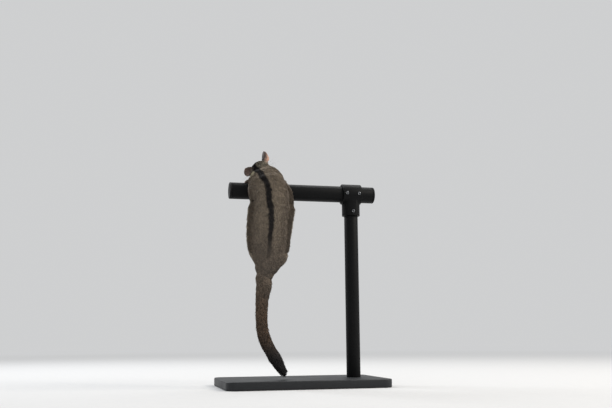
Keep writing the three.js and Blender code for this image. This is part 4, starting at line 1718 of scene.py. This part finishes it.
@dataclass
class Eyes:
    """The two glossy eyes and the dark rims of their lids. Sizes in millimetres."""

    bones: Skeleton
    # How far an eye looks aside, ahead and up.
    look: Point = (0.86, 0.36, 0.5)
    lid_turn: float = 53.0
    lid_slant: float = 6.0
    lid_thickness: float = 0.4
    lid_width: float = 1.5
    lid_gap: float = 0.1
    lid_steps: int = 10
    sides: int = 48

    def looks(self, side: str) -> Vector:
        """The direction in which an eye looks out of the head."""
        beside, ahead, above = self.look
        bones = self.bones
        out = bones.right * (beside if side == "right" else -beside)
        return Vector(unit(out + bones.ahead * ahead + bones.crown * above).tolist())

    def build(self) -> tuple[list[Piece], list[Piece]]:
        """Makes both eyes and both rims.

        Returns:
            The two eyeballs, then the two rims.
        """
        balls, rims = [], []
        for side, eye in self.bones.eyes.items():
            at = Matrix.Translation(Vector(eye.tolist()) * MM)
            matrix = at @ Vector((0, 0, 1)).rotation_difference(self.looks(side)).to_matrix().to_4x4()
            ball = bmesh.new()
            bmesh.ops.create_uvsphere(ball, u_segments=self.sides, v_segments=self.sides * 2 // 3,
                                      radius=self.bones.eye_radius * MM, matrix=matrix)
            balls.append(place(ball, f"eye_{side}_ball"))
            rims.append(self.rim(side, matrix))
        return balls, rims

    def rim(self, side: str, matrix: Matrix) -> Piece:
        """Makes a thin dark ring of naked lid, drawn out a little towards nose and ear.

        Args:
            side: left or right.
            matrix: the eye's place, with +Z where it looks.

        Returns:
            The ring.
        """
        radius = self.bones.eye_radius + self.lid_gap
        turn = math.radians(self.lid_turn)
        thick = self.lid_thickness
        profile = []
        for i in range(self.lid_steps + 1):
            angle = math.tau * i / self.lid_steps
            profile.append((radius * math.sin(turn) + thick * math.cos(angle) * self.lid_width,
                            radius * math.cos(turn) + thick * math.sin(angle)))
        ring = lathe(profile, self.sides, Matrix.Identity(4))
        ahead = matrix.to_3x3().inverted() @ Vector(self.bones.ahead.tolist())
        start = math.atan2(ahead.y, ahead.x)
        for vertex in ring.verts:
            round_eye = math.atan2(vertex.co.y, vertex.co.x)
            slant = math.radians(self.lid_slant) * math.cos(2 * (round_eye - start))
            across = Vector((-math.sin(round_eye), math.cos(round_eye), 0))
            vertex.co.rotate(Quaternion(across, slant))
        bmesh.ops.transform(ring, matrix=matrix, verts=ring.verts)
        return place(ring, f"lid_{side}")


@dataclass
class Claws:
    """The curved claws of fingers and hind toes. Lengths in millimetres, places from the grip."""

    bar_radius: float = 12.5
    # Each hand's place along the bar and the side that its first finger lies on.
    hands: tuple[tuple[float, int], ...] = ((-31.5, -1), (18.5, 1))
    # How many degrees each finger reaches over the bar, and its place across the hand.
    fingers: tuple[tuple[float, int], ...] = ((52, -2), (36, -1), (27, 0), (19, 1), (33, 2))
    finger_spacing: float = 4.1
    hand_shift: float = 0.6
    finger_rise: float = 3.0
    claw_length: float = 3.2
    claw_lean: float = 0.2
    # A finger claw's root, bend and tip: the share of its turn, and how far out from the bar it is.
    finger_stops: tuple[Span, ...] = ((0.0, 2.5), (0.6, 2.7), (1.25, 0.6))
    root_turn: float = 4.0
    # Each foot's ankle, the way of its toes and its side.
    feet: tuple[tuple[Point, Point, int], ...] = (
        ((-12.0, -6.0, -103.0), (0.1, 0.93, -0.3), -1), ((4.5, -5.0, -106.0), (0.08, 0.95, -0.27), 1),
    )
    foot_length: float = 15.0
    # The spread and the length of the four hind toes that bear a claw.
    toes: tuple[Span, ...] = ((-0.3, 0.72), (0.02, 0.78), (0.36, 0.98), (0.7, 0.84))
    toe_length: float = 0.8
    toe_turn: float = 0.8
    toe_spacing: float = 4.0
    ball_of_foot: float = 0.62
    # A toe claw's root, bend and tip: the share of the toe's length, and how far it has dropped.
    toe_stops: tuple[Span, ...] = ((0.98, 2.7), (1.15, 4.0), (1.12, 6.2))
    radii: Span = (0.72, 0.12)
    steps: int = 7
    sides: int = 8

    def on_bar(self, x: float, degrees: float, out: float) -> Array:
        """A point round the bar at a distance out from its skin."""
        angle = math.radians(degrees)
        radius = self.bar_radius + out
        return np.array(GRIP) + np.array([x, radius * math.cos(angle), radius * math.sin(angle)])

    def of_hands(self) -> list[list[Array]]:
        """Finds where each finger's claw runs.

        Returns:
            The root, bend and tip of each claw.
        """
        turn = math.degrees(self.claw_length / (self.bar_radius + self.finger_rise))
        (_, root_out), *rest = self.finger_stops
        found = []
        for hand, side in self.hands:
            for reach, across in self.fingers:
                tip = hand + side * (self.hand_shift + across * self.finger_spacing)
                bend = tip + side * across * self.claw_lean
                row = [self.on_bar(tip, reach + self.root_turn, root_out)]
                row += [self.on_bar(bend, reach - turn * share, out) for share, out in rest]
                found.append(row)
        return found

    def of_feet(self) -> list[list[Array]]:
        """Finds where each hind toe's claw runs.

        Returns:
            The root, bend and tip of each claw.
        """
        found = []
        for ankle, toes, side in self.feet:
            along = unit(np.array(toes))
            out = np.array([float(side), 0.0, 0.0])
            out = unit(out - along * float(out @ along))
            top = np.cross(out, along) * side
            for spread, length in self.toes:
                reach = length * self.foot_length * self.toe_length
                ahead, aside = math.cos(spread * self.toe_turn), math.sin(spread * self.toe_turn)
                row = []
                for share, drop in self.toe_stops:
                    forward = self.foot_length * self.ball_of_foot + ahead * reach * share
                    across = spread * self.toe_spacing + aside * reach * share
                    place_at = np.array(GRIP) + np.array(ankle) + along * forward
                    row.append(place_at + out * across - top * drop)
                found.append(row)
        return found

    def build(self) -> Piece:
        """Makes all the claws as one piece."""
        rows = self.of_hands() + self.of_feet()
        return tubes("claws", [bent(row, self.steps) for row in rows], self.radii, self.sides)


def bent(stops: Sequence[Array], steps: int) -> Array:
    """Points on a smooth curve through a start, a middle and an end."""
    first, middle, last = stops
    pull = 2 * middle - (first + last) / 2
    share = np.linspace(0, 1, steps)[:, None]
    return first * (1 - share) ** 2 + 2 * pull * share * (1 - share) + last * share ** 2


def tubes(name: str, lines: Sequence[Array], radii: Span, sides: int) -> Piece:
    """Closed tapered tubes along lines of points.

    Args:
        name: the piece's name.
        lines: the points of each tube in millimetres, all of the same number.
        radii: the radius at the start and at the tip.
        sides: the number of sides.

    Returns:
        One object that holds all the tubes.
    """
    steps = len(lines[0])
    turns = np.arange(sides) * math.tau / sides
    points: list[Array] = []
    faces: list[Array] = []
    for number, line in enumerate(lines):
        along = unit(np.gradient(line, axis=0))
        helper = np.array([0.0, 0.0, 1.0]) if abs(along[0][2]) < 0.9 else np.array([1.0, 0.0, 0.0])
        side = unit(np.cross(along, helper))
        up = np.cross(side, along)
        share = np.linspace(0, 1, steps)
        radius = radii[0] + (radii[1] - radii[0]) * share ** 1.3
        ring = (side[:, None] * np.cos(turns)[None, :, None] + up[:, None] * np.sin(turns)[None, :, None])
        points.append((line[:, None] + ring * radius[:, None, None]).reshape(-1, 3))
        points.append(line[[0, -1]])
        base = number * (steps * sides + 2)
        for i in range(steps - 1):
            a = base + i * sides + np.arange(sides)
            b = base + i * sides + (np.arange(sides) + 1) % sides
            faces.append(np.column_stack([a, a + sides, b]))
            faces.append(np.column_stack([b, a + sides, b + sides]))
        root, tip = base + steps * sides, base + steps * sides + 1
        a = base + np.arange(sides)
        b = base + (np.arange(sides) + 1) % sides
        faces.append(np.column_stack([a, b, np.full(sides, root)]))
        a, b = a + (steps - 1) * sides, b + (steps - 1) * sides
        faces.append(np.column_stack([b, a, np.full(sides, tip)]))
    mesh = mesh_of(name, np.concatenate(points), np.concatenate(faces))
    shape = bmesh.new()
    shape.from_mesh(mesh)
    bmesh.ops.recalc_face_normals(shape, faces=shape.faces)
    bpy.data.meshes.remove(mesh)
    return place(shape, name)


@dataclass
class Whiskers:
    """Long thin whiskers on the muzzle and a few over the eyes. Sizes in millimetres."""

    bones: Skeleton
    skin: Skin
    rows: int = 4
    in_row: int = 4
    # Where the first whisker stands behind, beside and above the nose, and what each next one adds.
    behind: Span = (4.2, 2.1)
    beside: Span = (3.4, 0.7)
    above: Span = (1.2, -1.5)
    # Above and ahead of each eye, for the whiskers of the brow: how many, and how they fan out.
    brow_up: float = 6.0
    brow_ahead: float = 2.0
    brow_count: int = 2
    brow_aside: float = 0.5
    brow_place: float = 1.2
    brow_row: int = -2
    # How a whisker points ahead and down at first, and what each place and row adds.
    lean: Span = (0.42, -0.16)
    droop: Span = (0.12, 0.2)
    stand_off: float = 0.5
    direction_chance: float = 0.06
    length: Span = (13.0, 4.5)
    length_chance: Span = (0.85, 1.15)
    # How far the tip sags backwards and down, as shares of the length.
    sag: Span = (0.34, 0.12)
    root_depth: float = 0.4
    radii: Span = (0.085, 0.02)
    steps: int = 9
    sides: int = 5

    def __post_init__(self) -> None:
        """Starts the draw and the search for the nearest point of skin."""
        self.draw = np.random.default_rng(SEED + 9)
        self.tree = tree_of(self.skin.rows)

    def build(self) -> Piece:
        """Makes all the whiskers as one piece, each rooted in the skin.

        Returns:
            The piece.
        """
        bones = self.bones
        lines = []
        for sideways, side in zip((-1, 1), SIDES):
            for row in range(self.rows):
                for number in range(self.in_row):
                    guess = (bones.nose - bones.ahead * (self.behind[0] + self.behind[1] * number)
                             + bones.right * sideways * (self.beside[0] + self.beside[1] * number)
                             + bones.crown * (self.above[0] + self.above[1] * row))
                    lines.append(self.line(guess, sideways, number, row))
            brow = bones.eyes[side] + bones.crown * self.brow_up + bones.ahead * self.brow_ahead
            for number in range(self.brow_count):
                row = self.brow_row - number
                lines.append(self.line(brow, sideways * self.brow_aside, self.brow_place, row))
        return tubes("whiskers", lines, self.radii, self.sides)

    def line(self, guess: Array, sideways: float, number: float, row: float) -> Array:
        """Draws the curve of one whisker.

        Args:
            guess: the place whose nearest point of skin bears the whisker.
            sideways: which way and how much it points aside.
            number: its place in its row, counted backwards from the nose.
            row: its row, counted downwards.

        Returns:
            Points from the root to the tip.
        """
        bones = self.bones
        nearest = self.tree.find(guess.tolist())[1]
        out = self.skin.outwards[nearest]
        root = self.skin.rows[nearest] - out * self.root_depth
        way = unit(bones.right * sideways + bones.ahead * (self.lean[0] + self.lean[1] * number)
                   - bones.crown * (self.droop[1] * row + self.droop[0]) + out * self.stand_off
                   + self.draw.normal(0, self.direction_chance, 3))
        length = (self.length[0] + self.length[1] * number) * self.draw.uniform(*self.length_chance)
        back, down = self.sag
        sag = -bones.ahead * length * back - bones.crown * down * length
        share = np.linspace(0, 1, self.steps)[:, None]
        return root + way * length * share + sag * share ** 2


@dataclass
class Stand:
    """The cut length of bar with its plugs, and the rod, collar and base that carry it. Millimetres."""

    bar_radius: float = 12.5
    bar_length: float = 220.0
    bar_middle: Point = (5.0, 0.0, 290.0)
    bar_edge: float = 0.5
    cap_thickness: float = 3.0
    cap_edge: float = 1.0
    cap_edge_steps: int = 6
    cap_chamfer: float = 0.2
    # The dish in a plug's face: radius and depth at its rim, foot and middle.
    cap_dish: tuple[Span, ...] = ((8.4, 0.0), (7.6, 0.5), (0.0, 0.7))
    gap: float = 0.3
    rod_radius: float = 10.5
    rod_x: float = 82.0
    rod_bottom: float = 12.3
    rod_top: float = 275.5
    rod_edge: float = 0.6
    collar_wall: float = 3.0
    collar_length: float = 30.0
    collar_drop: float = 34.0
    collar_edge: float = 0.9
    collar_sharp: float = 40.0
    # The bar's bore runs this far each way, and the rod's starts below the socket and ends inside.
    bore_half: float = 60.0
    hole_bottom: float = 200.0
    hole_top_gap: float = 5.0
    # The set screws: aside from the rod, down from the bar, sunk depth, and radius and height pairs.
    screw_aside: float = 9.5
    screw_down: float = 27.5
    screw_out: float = 0.5
    screw_profile: tuple[Span, ...] = (
        (0.0, -1.2), (2.3, -1.2), (2.3, 0.2), (2.0, 0.5), (1.4, 0.5), (1.25, -0.6), (0.0, -0.6))
    screw_sides: int = 30
    base_size: Point = (240.0, 150.0, 12.0)
    base_corner: float = 14.0
    base_corner_steps: int = 10
    base_edge: float = 1.5
    base_sharp: float = 35.0
    edge_steps: int = 4
    sides: int = 72

    def at(self, x: float, y: float, z: float, along_x: bool = False) -> Matrix:
        """A place in metres, with the axis turned along +X if asked."""
        turn = Matrix.Rotation(math.pi / 2, 4, "Y") if along_x else Matrix.Identity(4)
        return Matrix.Translation(Vector((x, y, z)) * MM) @ turn

    def round_bar(self, radius: float, ends: Span, edge: float, matrix: Matrix) -> BMesh:
        """A solid round bar with rounded rims, between two heights on its axis."""
        low, high = ends
        profile = [(0.0, low), *rim(radius, low, edge, self.edge_steps, up=False)]
        profile += [*rim(radius, high, edge, self.edge_steps, up=True), (0.0, high)]
        return lathe(profile, self.sides, matrix)

    def bar(self) -> Piece:
        """The cut length of tube that the glider holds."""
        half = self.bar_length / 2
        matrix = self.at(*self.bar_middle, along_x=True)
        return place(self.round_bar(self.bar_radius, (-half, half), self.bar_edge, matrix), "bar")

    def cap(self, side: int) -> Piece:
        """Makes a pressed-in plug with a rounded rim and a shallow dished face.

        Args:
            side: -1 for the left end of the bar, 1 for the right one.

        Returns:
            The plug.
        """
        low = self.bar_length / 2 + self.gap
        high = low + self.cap_thickness
        radius, chamfer = self.bar_radius, self.cap_chamfer
        profile = [(0.0, low), (radius - chamfer, low), (radius, low + chamfer)]
        profile += rim(radius, high, self.cap_edge, self.cap_edge_steps, up=True)
        profile += [(dish, high - depth) for dish, depth in self.cap_dish]
        matrix = self.at(*self.bar_middle) @ Matrix.Rotation(side * math.pi / 2, 4, "Y")
        return place(lathe(profile, self.sides, matrix), f"bar_plug_{'left' if side < 0 else 'right'}")

    def rod(self) -> Piece:
        """The upright rod."""
        ends = (self.rod_bottom, self.rod_top)
        shape = self.round_bar(self.rod_radius, ends, self.rod_edge, self.at(self.rod_x, 0, 0))
        return place(shape, "upright")

    def collar(self) -> Piece:
        """Makes the tee that joins rod and bar: a sleeve and a socket in one, bored through.

        Returns:
            The tee.
        """
        height = self.bar_middle[2]
        half = self.collar_length / 2
        bar_hole, rod_hole = self.bar_radius + self.gap, self.rod_radius + self.gap
        wall, edge = self.collar_wall, self.collar_edge
        lying, upright = self.at(self.rod_x, 0, height, along_x=True), self.at(self.rod_x, 0, 0)
        sleeve = place(self.round_bar(bar_hole + wall, (-half, half), edge, lying), "tee")
        socket = self.round_bar(rod_hole + wall, (height - self.collar_drop, height), edge, upright)
        bore = self.round_bar(bar_hole, (-self.bore_half, self.bore_half), self.bar_edge, lying)
        hole_ends = (self.hole_bottom, height - self.hole_top_gap)
        hole = self.round_bar(rod_hole, hole_ends, self.bar_edge, upright)
        for shape, way in ((socket, "UNION"), (bore, "DIFFERENCE"), (hole, "DIFFERENCE")):
            tool = place(shape, "tool")
            cut = sleeve.modifiers.new("cut", "BOOLEAN")
            cut.object = tool
            cut.operation = way
            cut.solver = "EXACT"
            graph = bpy.context.evaluated_depsgraph_get()
            cut_mesh = bpy.data.meshes.new_from_object(sleeve.evaluated_get(graph))
            sleeve.modifiers.clear()
            sleeve.data = cut_mesh
            bpy.data.objects.remove(tool)
        sleeve.data.set_sharp_from_angle(angle=math.radians(self.collar_sharp))
        return sleeve

    def screws(self) -> Piece:
        """Makes three small set screws with round sockets, on the tee's near side.

        Returns:
            The screws as one piece.
        """
        height = self.bar_middle[2]
        socket_radius = self.rod_radius + self.gap + self.collar_wall
        sleeve_radius = self.bar_radius + self.gap + self.collar_wall
        places = (
            (-self.screw_aside, 0.0, sleeve_radius), (self.screw_aside, 0.0, sleeve_radius),
            (0.0, -self.screw_down, socket_radius),
        )
        whole = bmesh.new()
        for aside, up, radius in places:
            at = self.at(self.rod_x + aside, -radius - self.screw_out, height + up)
            matrix = at @ Matrix.Rotation(math.pi / 2, 4, "X")
            screw = lathe(self.screw_profile, self.screw_sides, matrix)
            part = bpy.data.meshes.new("screw")
            screw.to_mesh(part)
            screw.free()
            whole.from_mesh(part)
            bpy.data.meshes.remove(part)
        return place(whole, "set_screws")

    def base(self) -> Piece:
        """Makes the flat base plate with round corners and a softened edge.

        Returns:
            The plate.
        """
        length, width, thickness = self.base_size
        bm = bmesh.new()
        bmesh.ops.create_cube(bm, size=1.0)
        bmesh.ops.scale(bm, vec=Vector((length, width, thickness)) * MM, verts=bm.verts)
        bmesh.ops.translate(bm, vec=Vector((0, 0, thickness / 2)) * MM, verts=bm.verts)
        upright = [edge for edge in bm.edges if abs(edge.verts[0].co.z - edge.verts[1].co.z) > MERGE]
        bmesh.ops.bevel(bm, geom=upright, offset=self.base_corner * MM, segments=self.base_corner_steps,
                        profile=0.5, affect="EDGES", material=-1)
        level = [edge for edge in bm.edges if abs(edge.verts[0].co.z - edge.verts[1].co.z) < MERGE]
        bmesh.ops.bevel(bm, geom=level, offset=self.base_edge * MM, segments=self.edge_steps,
                        profile=0.5, affect="EDGES", material=-1)
        bmesh.ops.recalc_face_normals(bm, faces=bm.faces)
        plate = place(bm, "base_plate")
        plate.data.set_sharp_from_angle(angle=math.radians(self.base_sharp))
        return plate


@dataclass(frozen=True)
class Lamp:
    """A soft square light: its place and side in metres, its power in watts and its colour."""

    name: str
    at: Point
    power: float
    size: float
    colour: Colour


@dataclass(frozen=True)
class Studio:
    """The camera at the photograph's angle, the pale floor and the soft lights."""

    frame: tuple[int, int] = (612, 408)
    focal_pixels: float = 787.0
    distance: float = 1.2
    azimuth: float = -11.0
    elevation: float = -10.4
    grip_pixel: Span = (270.5, 192.0)
    sensor: float = 36.0
    floor_half: float = 30.0
    floor_cells: int = 8
    floor_colours: tuple[Colour, Colour] = (srgb(204, 205, 206), srgb(210, 210, 210))
    floor_specks: float = 60.0
    fade_from: float = 0.5
    fade_to: float = 3.0
    world_colour: Colour = srgb(236, 237, 238)
    world_strength: float = 0.74
    lit_point: Point = (-0.03, 0.0, 0.22)
    lamps: tuple[Lamp, ...] = (
        Lamp("key", (1.75, -0.95, 1.5), 40.0, 1.1, srgb(255, 248, 238)),
        Lamp("edge", (-0.9, 1.0, 1.3), 15.0, 0.7, srgb(250, 252, 255)),
        Lamp("top", (0.4, 0.5, 1.7), 8.0, 0.9, srgb(255, 255, 255)),
    )

    def camera(self) -> Piece:
        """Puts the camera where the grip on the bar falls on its own pixel.

        Returns:
            The camera.
        """
        data = bpy.data.cameras.new("camera")
        data.sensor_width = self.sensor
        data.lens = self.focal_pixels / self.frame[0] * self.sensor
        camera = bpy.data.objects.new("camera", data)
        bpy.context.scene.collection.objects.link(camera)
        turn, rise = math.radians(self.azimuth), math.radians(self.elevation)
        level = math.cos(rise)
        back = Vector((math.sin(turn) * level, -math.cos(turn) * level, math.sin(rise)))
        camera.location = Vector(GRIP) * MM + back * self.distance
        look = (-back).to_track_quat("-Z", "Y")
        across = (self.grip_pixel[0] - self.frame[0] / 2) / self.focal_pixels
        up = (self.frame[1] / 2 - self.grip_pixel[1]) / self.focal_pixels
        off_centre = Vector((across, up, -1.0)).normalized().rotation_difference(Vector((0, 0, -1)))
        camera.rotation_mode = "QUATERNION"
        camera.rotation_quaternion = look @ off_centre
        bpy.context.scene.camera = camera
        return camera

    def floor(self) -> Piece:
        """Makes a wide pale matt floor.

        Returns:
            The floor.
        """
        bm = bmesh.new()
        cells = self.floor_cells
        bmesh.ops.create_grid(bm, x_segments=cells, y_segments=cells, size=self.floor_half)
        floor = place(bm, "studio_floor")
        sheet = Sheet("floor_paper", Roughness=0.85, Specular_IOR_Level=0.2)
        here = sheet.object_place()
        specks = sheet.noise(here, self.floor_specks, 4.0)
        sheet.base_colour(sheet.blend("MIX", *self.floor_colours, specks.outputs["Fac"]))
        self.fade(sheet, here)
        floor.data.materials.append(sheet.material)
        return floor

    def fade(self, sheet: Sheet, here: Socket) -> None:
        """Turns the floor into the world's own light far out, so that no horizon shows.

        Args:
            sheet: the floor's material.
            here: its coordinates.
        """
        away = sheet.tree.nodes.new("ShaderNodeVectorMath")
        away.operation = "LENGTH"
        sheet.link(here, away.inputs[0])
        share = sheet.add("MapRange", From_Min=self.fade_from, From_Max=self.fade_to)
        share.interpolation_type = "SMOOTHSTEP"
        sheet.link(away.outputs["Value"], share.inputs["Value"])
        glow = sheet.add("Emission", Color=self.world_colour, Strength=self.world_strength)
        both = sheet.tree.nodes.new("ShaderNodeMixShader")
        sheet.link(share.outputs["Result"], both.inputs[0])
        sheet.link(sheet.shader.outputs["BSDF"], both.inputs[1])
        sheet.link(glow.outputs["Emission"], both.inputs[2])
        sheet.link(both.outputs["Shader"], sheet.tree.nodes["Material Output"].inputs["Surface"])

    def light(self, lamp: Lamp) -> None:
        """Hangs a lamp so that it shines at the middle of the model."""
        data = bpy.data.lights.new(lamp.name, "AREA")
        data.energy = lamp.power
        data.size = lamp.size
        data.color = lamp.colour[:3]
        hung = bpy.data.objects.new(lamp.name, data)
        bpy.context.scene.collection.objects.link(hung)
        hung.location = lamp.at
        away = Vector(lamp.at) - Vector(self.lit_point)
        hung.rotation_euler = away.to_track_quat("Z", "Y").to_euler()

    def build(self) -> None:
        """Sets up camera, floor, world and lights."""
        self.camera()
        self.floor()
        scene = bpy.context.scene
        scene.view_settings.view_transform = "Standard"
        world = bpy.data.worlds.new("studio")
        world.use_nodes = True
        ground = world.node_tree.nodes["Background"]
        ground.inputs["Color"].default_value = self.world_colour
        ground.inputs["Strength"].default_value = self.world_strength
        scene.world = world
        for lamp in self.lamps:
            self.light(lamp)


@dataclass
class Glider:
    """The whole animal: skin, coat, eyes, claws and whiskers."""

    nodes: dict[str, Piece]

    def build(self) -> None:
        """Builds and dresses every piece of the animal."""
        bones = Skeleton(self.nodes)
        skin = Skin(bones, Muzzle(bones))
        ground = skin.build()
        unwrap = Unwrap(bones)
        colours = Markings().colours(skin)
        paint(ground.data, colours)
        self.lie_map(skin, unwrap)
        self.dress_skin(skin)
        hand_in(ground, "coat", FLESH)
        self.fur(Coat(skin, unwrap, colours))
        self.details(bones, skin)

    def lie_map(self, skin: Skin, unwrap: Unwrap) -> None:
        """Gives the skin a map in millimetres, round and along each part, for the fine hairs.

        Args:
            skin: the finished skin.
            unwrap: how each node is rolled out.
        """
        corner = skin.triangles.ravel()
        owner = skin.owner[skin.triangles[:, 0]].repeat(3)
        flat = np.zeros((len(corner), 2))
        for number, name in enumerate(FLESH):
            chosen = owner == number
            turn, reach = unwrap.turn_and_reach(name, skin.rows[corner[chosen]])
            first = turn.reshape(-1, 3)[:, :1].repeat(3, 1).ravel()
            turn = turn - np.round(turn - first)
            roll = unwrap.rolls[name]
            flat[chosen] = np.column_stack([turn * math.tau * roll.radius, reach * (roll.high - roll.low)])
        layer = skin.piece.data.uv_layers.new(name=LIE_MAP)
        layer.data.foreach_set("uv", flat.astype(np.float32).ravel())

    def dress_skin(self, skin: Skin) -> None:
        """Gives furred and naked parts of the skin their own finish."""
        mesh = skin.piece.data
        mesh.materials.clear()
        mesh.materials.append(UnderFurFinish().build("under_fur"))
        mesh.materials.append(BareSkinFinish().build("naked_skin"))
        bare = np.array([Region.of(name).bare for name in FLESH])[skin.owner]
        mesh.polygons.foreach_set("material_index", bare[skin.triangles].all(1).astype(np.int32))

    def fur(self, coat: Coat) -> None:
        """Grows the coat region by region.

        Args:
            coat: the coat on the finished skin.
        """
        finish = FurFinish().build("fur")
        plan = (
            ("coat_body", ("torso", "neck"), "coat"),
            ("coat_thighs", both("thigh"), "coat"),
            ("coat_tail", ("tail_1", "tail_2", "tail_3", "tail_4"), "tail_coat"),
            ("coat_head", ("head",), "coat"),
            ("coat_limbs", both("upper_arm", "forearm", "shank"), "coat"),
            ("coat_paws", both("hand", "foot", "ear"), "skin"),
            ("coat_membranes", both("membrane"), "membrane"),
        )
        for name, nodes, slot in plan:
            for piece in coat.build(name, nodes, slot):
                piece.data.materials.append(finish)

    def details(self, bones: Skeleton, skin: Skin) -> None:
        """Adds eyes, lids, claws and whiskers.

        Args:
            bones: the CAD nodes' directions and places.
            skin: the finished skin.
        """
        eye = EyeFinish().build("wet_eye")
        lid = LID_RIM.build("lid_rim")
        balls, rims = Eyes(bones).build()
        for side, ball in zip(bones.eyes, balls):
            ball.data.materials.append(eye)
            hand_in(ball, "eye", (f"eye_{side}",))
        for rim_piece in rims:
            rim_piece.data.materials.append(lid)
            hand_in(rim_piece, "skin", ())
        claws = Claws().build()
        claws.data.materials.append(CLAW_HORN.build("claw_horn"))
        hand_in(claws, "skin", [])
        whiskers = Whiskers(bones, skin).build()
        whiskers.data.materials.append(WHISKER.build("whisker"))
        hand_in(whiskers, "coat", [])


def build_stand() -> None:
    """Builds and dresses the bar and the stand."""
    stand = Stand()
    black = BAR_PAINT.build("bar_paint")
    plastic = PLUG_PLASTIC.build("plug_plastic")
    plate = BASE_PAINT.build("base_paint")
    steel = SCREW_STEEL.build("screw_steel")
    plan: tuple[tuple[Callable[[], Piece], Material, str, tuple[str, ...]], ...] = (
        (stand.bar, black, "stand_metal", ("perch_bar",)),
        (lambda: stand.cap(-1), plastic, "stand_metal", ("perch_cap_left",)),
        (lambda: stand.cap(1), plastic, "stand_metal", ("perch_cap_right",)),
        (stand.rod, black, "stand_metal", ("stand_rod",)),
        (stand.collar, black, "stand_metal", ("stand_collar",)),
        (stand.screws, steel, "stand_metal", ()),
        (stand.base, plate, "stand_base", ("stand_base",)),
    )
    for make, finish, slot, nodes in plan:
        piece = make()
        piece.data.materials.clear()
        piece.data.materials.append(finish)
        hand_in(piece, slot, nodes)


def main() -> None:
    """Builds the stand and the glider in the CAD's frame."""
    logging.basicConfig(level=logging.INFO, format="%(name)s: %(message)s")
    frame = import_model()
    Studio().build()
    build_stand()
    Glider(frame["nodes"]).build()


if __name__ == "__main__":
    main()
